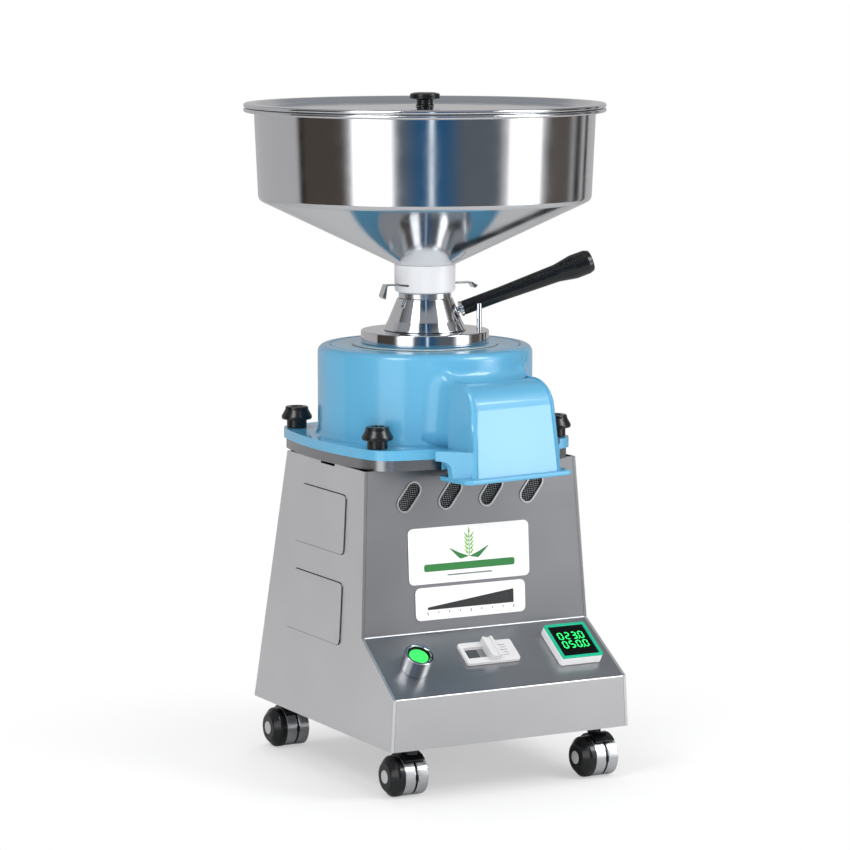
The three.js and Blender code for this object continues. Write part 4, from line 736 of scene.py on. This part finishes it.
class MILL_OT_labels(bpy.types.Operator):
    """Two label plates with a plain grain ear, a bar and a power wedge"""
    bl_idname = "mill.labels"
    bl_label = "Label plates"

    # Foot and top of the prints above the sheet; the plates end at 1.1 mm
    INK = (1.12, 1.2)

    def execute(self, context):
        edge = context.scene.mill_sizes.sheet_round * 0.5
        shaped("name_label", "ear_label_plate", edge)
        shaped("scale_label", "wedge_label_plate", edge)
        self.ear()
        self.wedge()
        return {"FINISHED"}

    def ear(self):
        """Grain ear over two leaves, a bar and a rule, on the large plate."""
        middle = on(UPPER, -6.7, 87.5)
        grains = []
        for i in range(5):
            for side in (-1, 1):
                turn = Matrix.Rotation(math.radians(side * -38), 4, "Z")
                spot = on(middle, side * 4.2, 2.5 + i * 4.6) @ turn
                outline = [(-1.5, -4.4, 1.3), (1.5, -4.4, 1.3), (0, 4.8, 0.3)]
                grains.append(pulled("grain", outline, *self.INK, spot, 3))
        outline = [(-1.5, -4, 1.3), (1.5, -4, 1.3), (0, 4.4, 0.3)]
        grains.append(pulled("grain", outline, *self.INK, on(middle, 0, 26.5), 3))
        detail(merge_objects("grain_ear_print", grains), "name_label", "print_light")
        # The stem ends a little lower than the grains that lie over it.
        stem = pulled("ear_stem_print", oblong(0.9, 26, 0.4, 0, 9), 1.12, 1.19, middle, 2)
        detail(stem, "name_label", "print_dark")
        leaves = []
        for side in (-1, 1):
            outline = [(0, -4, 0.3), (side * 13, 1, 3), (side * 27, 8, 0.4), (side * 12, -6.5, 4)]
            leaves.append(pulled("leaf", outline, *self.INK, middle, 4))
        detail(merge_objects("leaf_print", leaves), "name_label", "print_dark")
        bar = pulled("bar_print", oblong(118, 8.5, 2.6, 0, -14), *self.INK, middle)
        detail(bar, "name_label", "print_dark")
        line = pulled("rule_print", oblong(58, 1.6, 0.6, 0, -23.5), *self.INK, middle)
        detail(line, "name_label", "print_grey")

    def wedge(self):
        """Power wedge over a row of ticks, on the small plate."""
        middle = on(UPPER, -6.2, 32.6)
        outline = [(-56, -7, 0.6), (56, -7, 1.2), (56, 9, 1.2), (-56, -4, 0.6)]
        detail(pulled("power_wedge_print", outline, *self.INK, middle), "scale_label", "print_black")
        ticks = []
        for i in range(9):
            tall = 3.6 if i % 4 == 0 else 2.2
            outline = oblong(0.9, tall, 0.2, -56 + 14 * i, -9.4 - tall / 2)
            ticks.append(pulled("tick", outline, *self.INK, middle, 1))
        detail(merge_objects("power_tick_print", ticks), "scale_label", "print_black")


class MILL_OT_button(bpy.types.Operator):
    """Start button: polished bezel with a dark well and a lit lens"""
    bl_idname = "mill.button"
    bl_label = "Start button"

    def execute(self, context):
        spot = on(SLOPE, -103.5, SLOPE_LENGTH - 54)
        outline = [
            (8.6, -26), (10.8, -26), (10.8, 0.3), (17, 0.3, 0.4), (17, 22, 0.8),
            (14.2, 22, 0.6), (13.4, 20.8, 0.4), (13.4, 8), (8.6, 8),
        ]
        turned("button_bezel", "button_bezel_turned", outline, spot, closed=True)
        outline = [(0, -22), (8.2, -22), (8.2, 11.3), (11.3, 11.3, 0.3), (11.3, 18.9, 1.0), (0, 19.6)]
        turned("start_button", "button_lens", outline, spot)
        # The shroud clears the bezel's floor when the button is pressed home.
        outline = [(11.4, 11.5), (12.5, 11.5), (12.5, 19.4, 0.4), (11.4, 19.4, 0.4)]
        ring = spun("button_shroud", outline, spot, 0, 3, True)
        detail(ring, "start_button", "black_plastic", "black_plastic")
        return {"FINISHED"}


class MILL_OT_switch(bpy.types.Operator):
    """Slide switch: moulded plate, shaded window, ridged slider and small ticks"""
    bl_idname = "mill.switch"
    bl_label = "Slide switch"

    def execute(self, context):
        edge = context.scene.mill_sizes.moulded_round
        for node in ("switch_plate", "switch_slider"):
            shaped(node, f"{node}_moulded", edge, 3, material="switch_white")
        spot = on(SLOPE, -4.4, SLOPE_LENGTH - 43.8)
        # The darker patch in the window is painted shade.
        for tone, wide, x, top, material in (
            ("dark", 17, -20.8, 1.45, "shadow_plastic"), ("light", 19, -2.4, 1.4, "mid_plastic")
        ):
            window = pulled(f"switch_window_{tone}", oblong(wide, 15.6, 0.5, x, 0), 1.22, top, spot, 2)
            detail(window, "switch_plate", material)
        ticks = []
        for row, wide in enumerate((9, 6.5, 9, 6.5, 8)):
            outline = oblong(wide, 0.8, 0.2, 19 + row % 2 * 1.2, 8 - 4 * row)
            ticks.append(pulled("tick", outline, 5.0, 5.06, spot, 1))
        detail(merge_objects("switch_ticks", ticks), "switch_plate", "mid_plastic")
        return {"FINISHED"}


class MILL_OT_display(bpy.types.Operator):
    """Display: moulded case, lit frame, dark window and two rows of lit digits"""
    bl_idname = "mill.display"
    bl_label = "Display"

    # Bars of a digit: top, upper left, upper right, middle, lower left, lower right, bottom
    BARS = {"0": "1110111", "2": "1011101", "3": "1011011", "5": "1101011"}
    # Foot and top of the bars above the slope; the window ends at 12.2 mm
    GLOW = (12.22, 12.3)
    # Place of the first digit, pitch, heights of the two rows and drop of a dot, from the middle
    FIRST, PITCH, ROWS, DOT_DROP = -13.5, 9.0, (7.6, -6.4), 5.6

    def execute(self, context):
        edge = context.scene.mill_sizes.moulded_round
        shaped("display_housing", "display_case", edge * 2, 4)
        shaped("display_bezel", "display_light_frame", edge * 0.6, 3)
        shaped("display_window", "display_glass", edge * 0.3, 2)
        spot = on(SLOPE, 102.4, SLOPE_LENGTH - 47.5)
        bars = []
        for text, y in zip(("0230", "0500"), self.ROWS):
            for k, sign in enumerate(text):
                bars += self.digit(sign, self.FIRST + self.PITCH * k, y, spot)
            dot = oblong(1.6, 1.6, 0.7, self.FIRST + 2.5 * self.PITCH, y - self.DOT_DROP)
            bars.append(pulled("dot", dot, *self.GLOW, spot, 2))
        detail(merge_objects("display_digits", bars), "display_window", "digit_light")
        return {"FINISHED"}

    def digit(self, sign, x, y, spot):
        """Lit bars of one digit."""
        sizes = bpy.context.scene.mill_sizes
        tall, bar = sizes.digit_height / MM, sizes.digit_bar / MM
        wide = half = tall / 2
        spots = [
            (0, half, 1), (-wide / 2, half / 2, 0), (wide / 2, half / 2, 0), (0, 0, 1),
            (-wide / 2, -half / 2, 0), (wide / 2, -half / 2, 0), (0, -half, 1),
        ]
        bars = []
        for state, (dx, dy, level) in zip(self.BARS[sign], spots):
            if state == "1":
                size = (wide - bar, bar) if level else (bar, half - bar * 0.6)
                outline = oblong(*size, bar * 0.45, x + dx, y + dy)
                bars.append(pulled("bar", outline, *self.GLOW, spot, 2))
        return bars


class MILL_OT_head(bpy.types.Operator):
    """Cast grinding head: flange, drum, spout with its hood and lip"""
    bl_idname = "mill.head"
    bl_label = "Grinding head"

    TURN = Matrix.Rotation(math.radians(8), 4, "Z")
    # Drum radius, half width and top of the hood, foot of its lip, flare of a cheek down to the lip
    DRUM, HALF, TOP, LIP, FLARE = 125.5, 58.0, 459.5, 351.0, 6.4
    # Rise and width of the rails beside the hood's face, rounding of the hood's edges
    RAIL, RAIL_WIDTH, CORNER = 1.7, 7, 7.5
    # Lip: where it starts under the flange, its depth, thickness, overhang and corner
    LIP_BACK, LIP_DEPTH, LIP_THICK, LIP_OVER, LIP_CORNER = 127.5, 58.5, 5.6, 12, 9
    # Thickness of a cheek
    WALL = 4.5

    def execute(self, context):
        head = recast("mill_housing", "drum_casting")
        apron = pulled("apron", oblong(190, 60, 0, 0, -173.3), 350, 395, self.TURN)
        combine(head, "DIFFERENCE", apron)
        ease(head, context.scene.mill_sizes.cast_round * 0.7, 3, 35)
        hood = put(self.hood(), self.TURN)
        blend = put(self.blend(), self.TURN)
        casting = merge_objects("head_casting", [head, hood, blend])
        stand_for(casting, "mill_housing", "spout", angle=35)
        return {"FINISHED"}

    def flared(self, piece, inset):
        """Trims both sides to the lean of the hood's cheeks."""
        lean = math.atan2(self.FLARE, self.TOP - self.LIP)
        for side in (-1, 1):
            point = Vector((side * (self.HALF - inset), 0, self.TOP)) * MM
            cut_by_plane(piece, point, (side * math.cos(lean), 0, math.sin(lean)))
        return piece

    def side_view(self, name, grow, low, high):
        """Solid of the hood's side outline, grown outwards, between two places across."""
        turn = bpy.context.scene.mill_sizes.hood_turn / MM
        outline = [
            (-100, self.TOP + grow), (-169.1 - grow, self.TOP + grow, turn + grow),
            (-180 - grow, self.LIP + 1), (-134, self.LIP + 1), (-134, 386.5), (-100, 386.5),
        ]
        return pulled(name, outline, low, high, SIDEWAYS, 14)

    def hood(self):
        """Hollow body of the spout with its rails, lip and webs."""
        wide = self.HALF + self.FLARE + 1
        core = self.flared(self.side_view("hood", self.RAIL, -wide, wide), 0)

        def rim(a, b):
            """Tells the edges of the cheeks, in front of the lip's back or at the top."""
            front, top = (0.1 - self.LIP_BACK) * MM, (self.TOP - 0.5) * MM
            return a.x * b.x > 0 and all(c.y < front or c.z > top for c in (a, b))

        bevel_where(core, self.CORNER * MM, 6, rim)
        # The face between the two rails lies back by their rise.
        face = self.flared(self.side_view("face", 6, -wide, wide), self.RAIL_WIDTH)
        combine(face, "DIFFERENCE", self.side_view("core", 0, -wide, wide))
        combine(core, "DIFFERENCE", face)
        ease(core, 0.0008, 2, 40)
        across = 2 * (self.HALF + self.FLARE + self.LIP_OVER)
        middle = -self.LIP_BACK - self.LIP_DEPTH / 2
        outline = oblong(across, self.LIP_DEPTH, self.LIP_CORNER, 0, middle)
        lip = pulled("lip", outline, self.LIP, self.LIP + self.LIP_THICK)
        ease(lip, 0.0018, 4, 35)
        outline = [(-90, 447), (-163, 447, 26), (-175.6, 345), (-138, 345), (-138, 391), (-90, 391)]
        passage = pulled("passage", outline, -wide, wide, SIDEWAYS, 10)
        self.flared(passage, self.WALL)
        webs = [self.web(side) for side in (-1, 1)]
        combine(core, "UNION", lip, *webs)
        return combine(core, "DIFFERENCE", passage)

    def web(self, side):
        """Hollow gusset from the flange edge to a cheek."""
        # Outlines from the cheek outwards, seen from above, from the front and from above again
        wall, edge, under = 61.5, 143.0, 375.3
        plan = [(27, 2 - edge), (-4, 2 - edge), (-4, -34 - edge), (0, -34 - edge), (27, -edge)]
        front = [(27, 386.6), (-5, 386.6), (-5, 352), (14.3, 352), (16.5, under, 9), (27, under)]
        back = [(23.1, 3.1 - edge), (1.5, -24.1 - edge), (1.5, 8 - edge)]
        plan, front, back = (
            [(side * (wall + x), *rest) for x, *rest in outline[::side]] for outline in (plan, front, back)
        )
        web = pulled("web", plan, 345, 386.5, None, 10)
        combine(web, "INTERSECT", pulled("web_front", front, 120, 180, FRONTWAYS, 10))
        return combine(web, "DIFFERENCE", pulled("web_back", back, 340, under))

    def blend(self):
        """Hollow fillet that a ball rolls along the crossing of hood and drum."""
        corner, crown, side_ball, top_ball = self.CORNER, self.TOP + self.RAIL, 42.0, 14.0
        fall = self.FLARE / (self.TOP - self.LIP)
        path = []
        for z in (385.5, 405, 425, 440, crown - corner):
            path.append((self.HALF + fall * (self.TOP - z), z, 1.0, 0.0))
        for k in range(1, 13):
            a = math.radians(90 * k / 12)
            path.append((
                self.HALF - corner + corner * math.cos(a), crown - corner + corner * math.sin(a),
                math.cos(a), math.sin(a),
            ))
        path += [(x, self.TOP, 0.0, 1.0) for x in (42, 28, 14, 0)]
        path += [(-x, z, -nx, nz) for x, z, nx, nz in reversed(path[:-1])]
        # Each ring has its arc, sunk at both ends into the metal, and a root 4 to 5 mm deeper.
        corners, faces, count = [], [], 12
        for x, z, nx, nz in path:
            ball = top_ball + (side_ball - top_ball) * nx * nx
            centre = Vector((x + ball * nx, 0, z + ball * nz))
            centre.y = -math.sqrt((self.DRUM + ball) ** 2 - centre.x ** 2)
            first = Vector((-nx, 0, -nz))
            last = Vector((-centre.x, -centre.y, 0)).normalized()
            turn = first.angle(last)
            for k in range(count - 1):
                share = k / (count - 2)
                way = first * math.sin((1 - share) * turn) + last * math.sin(share * turn)
                sunk = 0.12 if k in (0, count - 2) else 0
                corners.append(centre + way / math.sin(turn) * (ball + sunk))
            root = Vector((x - 5 * nx, 0, z - 5 * nz))
            root.y = -math.sqrt((self.DRUM - 4) ** 2 - root.x ** 2)
            corners.append(root)
        for i in range(len(path) - 1):
            for k in range(count):
                here, there = i * count + k, i * count + (k + 1) % count
                faces.append((here, there, there + count, here + count))
        end = (len(path) - 1) * count
        faces += [tuple(range(count))[::-1], tuple(range(end, end + count))]
        mesh = bpy.data.meshes.new("blend")
        mesh.from_pydata([corner * MM for corner in corners], [], faces)
        piece = bpy.data.objects.new("blend", mesh)
        bpy.context.scene.collection.objects.link(piece)
        edit(piece)
        close_up()
        return piece


class MILL_OT_rings(bpy.types.Operator):
    """Drum cover, seal, steel ring and the lever's stop pin"""
    bl_idname = "mill.rings"
    bl_label = "Cover and rings"

    def execute(self, context):
        steps = context.scene.mill_sizes.steps
        outline = [(26.4, 482.5), (110, 482.5, 0.5), (110, 490.5, 1.8), (26.4, 490.5, 0.5)]
        cover = spun("drum_cover_turned", outline, None, steps, 4, True)
        outline = [(0, 462.5), (3, 462.5, 0.5), (3, 483), (0, 483)]
        pins = [spun("pin", outline, on(Matrix(), x, 0), 24) for x in (-34, 34)]
        stand_for(merge_objects("drum_cover_cast", [cover, *pins]), "drum_cover", angle=40)
        outline = [(26.4, 490.8), (85.4, 490.8, 0.3), (85.4, 492.5, 0.6), (26.4, 492.5, 0.3)]
        seal = turned("seal_ring", "seal_felt", outline, None, "blue_paint", steps, 3, True)
        dress_where(seal, "gasket", lambda face: abs(face.normal.z) < 0.5)
        outline = [(26.4, 492.8), (74.8, 492.8, 0.8), (74.8, 506.8, 1.5), (26.4, 506.8, 0.5)]
        turned("steel_ring", "steel_ring_turned", outline, None, None, steps, 4, True)
        low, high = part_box("stop_pin")
        middle = (low + high) / 2
        outline = [(0, low.z / MM), (3, low.z / MM, 0.5), (3, high.z / MM, 1.2), (0, high.z / MM)]
        place = Matrix.Translation((middle.x, middle.y, 0))
        turned("stop_pin", "stop_pin_turned", outline, place, None, 32)
        return {"FINISHED"}


class MILL_OT_feed(bpy.types.Operator):
    """Adjusting cone, throat ring, collar and the two feed gates"""
    bl_idname = "mill.feed"
    bl_label = "Feed parts"

    def execute(self, context):
        sizes = context.scene.mill_sizes
        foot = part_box("feed_cone")[0].z / MM
        outline = [
            (21, foot, 0.3), (26, foot, 0.3), (26, 507.1), (48.7, 507.1, 0.8),
            (43, 518.2, 12), (32.2, 544.1, 0.8), (21, 544.1, 0.5),
        ]
        turned("feed_cone", "feed_cone_turned", outline, None, None, sizes.steps, 6, True)
        outline = [(21, 544.4, 0.3), (30.6, 544.4, 0.4), (30.6, 550.6, 0.6), (21, 550.6, 0.3)]
        turned("throat_ring", "throat_ring_turned", outline, None, "turned_steel", 0, 3, True)
        shaped("collar", "collar_moulded", sizes.moulded_round * 0.5, 2, 40, None, 35)
        for side in ("left", "right"):
            shaped(f"feed_gate_{side}", f"feed_gate_{side}_bent", sizes.sheet_round)
        return {"FINISHED"}


class MILL_OT_lever(bpy.types.Operator):
    """Lever: steel root in the cone and a swelling black grip"""
    bl_idname = "mill.lever"
    bl_label = "Lever"

    # The stop pin: its bearing in degrees, its distance from the axis, its radius
    PIN_BEARING, PIN_REACH, PIN_RADIUS = -28, 63.3, 3
    # The lever: radius beside the pin, gap to it, rise in degrees, reach and height of its root
    ROOT_RADIUS, GAP, RISE, ROOT_REACH, ROOT_HEIGHT = 8.4, 0.3, 19.2, 42, 530

    def execute(self, context):
        away = (self.ROOT_RADIUS + self.PIN_RADIUS + self.GAP) / self.PIN_REACH
        turn = math.radians(self.PIN_BEARING) + math.asin(away)
        rise = math.radians(self.RISE)
        along = Vector((
            math.cos(turn) * math.cos(rise), math.sin(turn) * math.cos(rise), math.sin(rise)
        ))
        side = Vector((-math.sin(turn), math.cos(turn), 0))
        place = Matrix((side, along.cross(side), along)).transposed().to_4x4()
        reach = self.ROOT_REACH
        root = Vector((reach * math.cos(turn), reach * math.sin(turn), self.ROOT_HEIGHT))
        place.translation = root * MM
        outline = [
            (0, -14), (3.8, -14), (3.8, 0), (9.2, 0, 0.6), (9.2, 2.6, 0.6),
            (3.8, 2.6), (3.8, 66, 0.5), (0, 66),
        ]
        turned("lever_bracket", "lever_root", outline, place, None, 48, 4)
        outline = [
            (4.2, 2.9), (8.4, 2.9, 1.4), (8.6, 50, 60), (10.6, 122, 40), (14.4, 143, 25),
            (14.2, 160, 5), (12, 166, 2.5), (0, 166),
        ]
        turned("lever_grip", "lever_grip_moulded", outline, place, arc_steps=8)
        return {"FINISHED"}


class MILL_OT_hopper(bpy.types.Operator):
    """Hopper bowl, its dished lid and the lid's knob"""
    bl_idname = "mill.hopper"
    bl_label = "Hopper and lid"

    def execute(self, context):
        steps = context.scene.mill_sizes.steps
        outline = [
            (28.9, 563.8), (30.4, 563.8), (30.4, 583.8, 0.3), (35.5, 583.8, 1.0),
            (193.3, 659.3, 8), (197.8, 760.4, 0.8), (210, 760.4, 2.3), (210, 765.2, 2.3),
            (196.3, 765.2, 0.8), (191.8, 660.9, 7), (28.9, 585.46),
        ]
        turned("hopper", "hopper_spun", outline, None, "bowl_steel", steps, 6, True)
        outline = [
            (0, 764.9), (60, 764.9, 60), (189.4, 763.3, 2), (195, 765.5, 1), (210, 765.5, 2.4),
            (210, 770.5, 2.4), (196.6, 770.5, 1.6), (191, 764.9, 2), (60, 766.5, 60), (0, 766.5),
        ]
        turned("hopper_lid", "lid_spun", outline, None, None, steps, 6)
        outline = [
            (0, 757.8), (3, 757.8), (3, 766.8), (11.5, 766.8, 0.8), (9.4, 769.4, 2.4),
            (9.6, 774.2, 2.0), (17.4, 775.4, 1.0), (17.4, 781.0, 2.2), (12, 782.3, 2.0), (0, 782.3),
        ]
        turned("lid_knob", "lid_knob_moulded", outline)
        return {"FINISHED"}


class MILL_OT_clamps(bpy.types.Operator):
    """Four clamp knobs with flared skirts and dimples"""
    bl_idname = "mill.clamps"
    bl_label = "Clamp knobs"

    # Height of the flange's top face, on which the knobs stand
    FLANGE = 387.0

    def execute(self, context):
        outline = [
            (0, -23), (4, -23, 0.6), (4, 0), (11.8, 0, 0.8), (11.8, 9.6, 0.6), (17.0, 9.9, 0.7),
            (18, 11.4, 0.8), (18, 13.6, 1.0), (13.9, 21.0, 1.6), (13.2, 25, 1.6), (7.8, 25, 1.0),
            (5.6, 21.8, 1.0), (0, 21.8),
        ]
        first = spun("clamp_knob", [(r, self.FLANGE + z, *rest) for r, z, *rest in outline])
        for corner in CORNERS:
            low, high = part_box(f"clamp_knob_{corner}")
            knob = first.copy()
            knob.data = first.data.copy()
            knob.name = knob.data.name = f"clamp_knob_{corner}_moulded"
            context.scene.collection.objects.link(knob)
            put(knob, Matrix.Translation(((low.x + high.x) / 2, (low.y + high.y) / 2, 0)))
            stand_for(knob, f"clamp_knob_{corner}", angle=40)
        bpy.data.objects.remove(first, do_unlink=True)
        return {"FINISHED"}


class MILL_OT_casters(bpy.types.Operator):
    """Four twin-wheel casters: fork, two steel rims, black cheek and grey cap"""
    bl_idname = "mill.casters"
    bl_label = "Casters"

    # Half the width over both steel rims and rounding of the fork, in metres
    HALF_RIMS, FORK_ROUND = 0.0144, 0.0003

    def execute(self, context):
        for corner in CORNERS:
            low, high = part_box(f"caster_rims_{corner}")
            middle = (high.x - self.HALF_RIMS, (low.y + high.y) / 2, (low.z + high.z) / 2)
            place = Matrix.Translation(middle) @ SIDEWAYS
            node = f"caster_rims_{corner}"
            outline = [
                (0, -17), (3, -17), (3, -14.4), (21.2, -14.4), (23.1, -14.4, 0.5), (23.1, -1.15, 1.1),
                (19.5, -1.15), (3, -1.15), (3, 1.15), (19.5, 1.15), (23.1, 1.15, 1.1),
                (23.1, 14.4, 1.1), (0, 14.4),
            ]
            turned(node, f"{node}_turned", outline, place, "turned_steel", arc_steps=4)
            node = f"caster_cheek_{corner}"
            outline = [
                (0, -29.7), (15.5, -29.7, 4), (23.5, -22.1, 4.5), (23.5, -14.7, 0.6),
                (3.3, -14.7), (3.3, -17.3), (0, -17.3),
            ]
            turned(node, f"{node}_moulded", outline, place)
            outline = [(0, -29.6), (7.6, -29.6), (7.6, -30.4, 0.6), (0, -30.4)]
            cap = spun(f"caster_cap_{corner}", outline, place, 48, 3)
            detail(cap, node, "cap_grey", angle=40)
            node = f"caster_fork_{corner}"
            shaped(node, f"{node}_moulded", self.FORK_ROUND, 2, 40, None, 40)
        return {"FINISHED"}


class MILL_OT_gland(bpy.types.Operator):
    """Cable gland in the back panel"""
    bl_idname = "mill.gland"
    bl_label = "Cable gland"

    def execute(self, context):
        outline = [
            (5, -10.5), (7.6, -10.5), (7.6, 0.3), (13, 0.3, 0.4), (13, 7, 1.2), (10, 7, 0.6),
            (10, 19, 2.0), (5, 19, 0.8),
        ]
        turned("cable_gland", "cable_gland_turned", outline, on(BACK, 90, 45), None, 48, 4, True)
        return {"FINISHED"}


class MILL_OT_inside(bpy.types.Operator):
    """Finishes the stones, motor and other CAD pieces that stay as they are"""
    bl_idname = "mill.inside"
    bl_label = "Inside pieces"

    def execute(self, context):
        for name, node in NODES.items():
            if node.hide_render:
                continue
            node.data.materials.clear()
            node.data.materials.append(finish(SLOT_OF[name]))
        return {"FINISHED"}


class MILL_OT_studio(bpy.types.Operator):
    """Camera, floor, world and lamps"""
    bl_idname = "mill.studio"
    bl_label = "Studio"

    def execute(self, context):
        self.camera(context)
        self.floor(context)
        self.world(context)
        self.lamps(context)
        context.scene.view_settings.view_transform = "Standard"
        return {"FINISHED"}

    def aimed(self, context, name, data, spot, height):
        """A camera or lamp that looks at a height on the mill's axis."""
        thing = bpy.data.objects.new(name, data)
        thing.location = spot
        way = Vector((0, 0, height)) - thing.location
        thing.rotation_euler = way.to_track_quat("-Z", "Y").to_euler()
        context.scene.collection.objects.link(thing)
        return thing

    def camera(self, context):
        """Camera fitted to the photo."""
        data = bpy.data.cameras.new("photo_camera")
        data.lens, data.sensor_width = 150.67, 36.0
        data.shift_x, data.shift_y = 0.0001, -0.0022
        data.clip_end = 50.0
        spot = (-1.93743, -3.64531, 0.94219)
        context.scene.camera = self.aimed(context, "photo_camera", data, spot, 0.3965)

    def floor(self, context):
        """Grey paper that fades to the white of the background away from the mill."""
        radius = context.scene.mill_sizes.floor_radius
        deselect()
        bpy.ops.mesh.primitive_circle_add(vertices=128, radius=radius, fill_type="NGON", location=(0, 0, 0))
        floor = context.object
        floor.name = floor.data.name = "studio_floor"
        material, tree, spot = begin("floor_paper")
        reach = add(tree, "ShaderNodeVectorMath", {0: spot}, operation="LENGTH")
        # Near the mill the floor glows to the camera at 0.45 of white, as painted light that lightens its
        # shadow; further out it turns wholly white.
        fade = spread(tree, (reach, "Value"), 0.25, 0.6, 0.45, 1.0, interpolation_type="SMOOTHSTEP")
        path = add(tree, "ShaderNodeLightPath")
        # In mirrors the floor is darker than to lamps, as painted shade in its reflection.
        tone = spread(tree, (path, "Is Glossy Ray"), 0.0, 1.0, 0.93, 0.55)
        paper = {"Base Color": tone, "Roughness": 0.9, "Specular IOR Level": 0.1}
        shader = add(tree, "ShaderNodeBsdfPrincipled", paper)
        glow = add(tree, "ShaderNodeEmission", {"Color": grey(1.0), "Strength": 1.0})
        seen = calc(tree, "MULTIPLY", (path, "Is Camera Ray"), fade)
        add(tree, "ShaderNodeOutputMaterial", {"Surface": (mixed(tree, seen, shader, glow), 0)})
        floor.data.materials.append(material)

    def world(self, context):
        """White to the camera, plain light on matt pieces and a ring of boards in mirrors."""
        world = bpy.data.worlds.new("studio_world")
        context.scene.world = world
        world.use_nodes = True
        tree = world.node_tree
        tree.nodes.clear()
        place = add(tree, "ShaderNodeTexCoord")
        split = add(tree, "ShaderNodeSeparateXYZ", {"Vector": (place, "Generated")})
        # One unit for the full circle, with 0.5 towards the camera
        angle = calc(tree, "ARCTAN2", (split, "Y"), (split, "X"))
        circle = calc(tree, "DIVIDE", calc(tree, "ADD", angle, math.radians(118)), math.tau)
        share = calc(tree, "FRACT", calc(tree, "ADD", circle, 0.5))
        shade = linear("#BDBBBC")
        # Boards, flags and softboxes: middle, half width and soft edge in degrees, colour, strength
        for middle, half, soft_edge, colour, strength in (
            (-74, 20, 8, "#4E4641", 1.0), (-92, 2.5, 4, "#2A2522", 1.0), (-36, 14, 5, "#FFFFFF", 2.0),
            (17, 36, 6, "#5E646B", 1.0), (5, 15, 20, "#1B5680", 1.0), (4.5, 1.2, 3, "#F4FBFF", 1.6),
            (72, 13, 6, "#FFFFFF", 2.0), (104, 14, 10, "#5E5853", 1.0), (127, 5, 8, "#3A3532", 1.0),
            (141, 3, 3, "#3A3532", 1.0),
        ):
            away = calc(tree, "ABSOLUTE", calc(tree, "SUBTRACT", share, middle / 360 + 0.5))
            outer, inner = (half + soft_edge / 2) / 360, (half - soft_edge / 2) / 360
            board = spread(tree, away, outer, inner, 0.0, 1.0, interpolation_type="SMOOTHSTEP")
            shade = blended(tree, board, shade, scaled(linear(colour), strength))
        up = spread(tree, (split, "Z"), 0.38, 0.6, 0.0, 1.0, interpolation_type="SMOOTHSTEP")
        ceiling = blended(tree, up, shade, linear("#9B9EA2"))
        plain, mirror, white = (
            add(tree, "ShaderNodeBackground", {"Color": colour, "Strength": strength})
            for colour, strength in ((grey(1.0), 0.42), (ceiling, 1.0), (grey(1.0), 1.0))
        )
        path = add(tree, "ShaderNodeLightPath")
        first = mixed(tree, (path, "Is Glossy Ray"), plain, mirror)
        clear = calc(tree, "MAXIMUM", (path, "Is Camera Ray"), (path, "Is Transmission Ray"))
        add(tree, "ShaderNodeOutputWorld", {"Surface": (mixed(tree, clear, first, white), 0)})

    def lamps(self, context):
        """Main lamp on the right, fills on the left, one over the flange, one for the hood's face."""
        for name, spot, size, power, shown in (
            ("right_softbox", (1.55, -2.05, 2.3), 1.2, 38.0, True),
            ("left_softbox", (-1.95, -0.95, 2.7), 1.2, 30.0, True),
            ("top_softbox", (0.1, 0.5, 3.2), 1.8, 40.0, False),
            ("low_softbox", (-1.9, -3.2, 0.5), 1.5, 48.0, False),
            ("face_softbox", (1.865, -2.01, 0.476), 0.5, 4.0, True),
        ):
            data = bpy.data.lights.new(name, "AREA")
            data.energy, data.size, data.shape = power, size, "SQUARE"
            self.aimed(context, name, data, spot, 0.45).visible_glossy = shown


OPERATORS = (
    MILL_OT_cabinet, MILL_OT_band, MILL_OT_labels, MILL_OT_button, MILL_OT_switch, MILL_OT_display,
    MILL_OT_head, MILL_OT_rings, MILL_OT_feed, MILL_OT_lever, MILL_OT_hopper, MILL_OT_clamps,
    MILL_OT_casters, MILL_OT_gland, MILL_OT_inside, MILL_OT_studio,
)


class MILL_PT_panel(bpy.types.Panel):
    """Lists the steps that build the mill"""
    bl_label = "Flour mill"
    bl_idname = "MILL_PT_panel"
    bl_space_type = "VIEW_3D"
    bl_region_type = "UI"
    bl_category = "Flour mill"

    def draw(self, context):
        for group in (context.scene.mill_sizes, context.scene.mill_colours):
            for name in group.__annotations__:
                self.layout.prop(group, name)
        for operator in OPERATORS:
            self.layout.operator(operator.bl_idname)


CLASSES = (MILL_Sizes, MILL_Colours, *OPERATORS, MILL_PT_panel)


def register():
    for item in CLASSES:
        bpy.utils.register_class(item)
    bpy.types.Scene.mill_sizes = PointerProperty(type=MILL_Sizes)
    bpy.types.Scene.mill_colours = PointerProperty(type=MILL_Colours)


def unregister():
    del bpy.types.Scene.mill_sizes
    del bpy.types.Scene.mill_colours
    for item in reversed(CLASSES):
        bpy.utils.unregister_class(item)


def main():
    register()
    for operator in OPERATORS:
        group, action = operator.bl_idname.split(".")
        getattr(getattr(bpy.ops, group), action)()


if __name__ == "__main__":
    main()
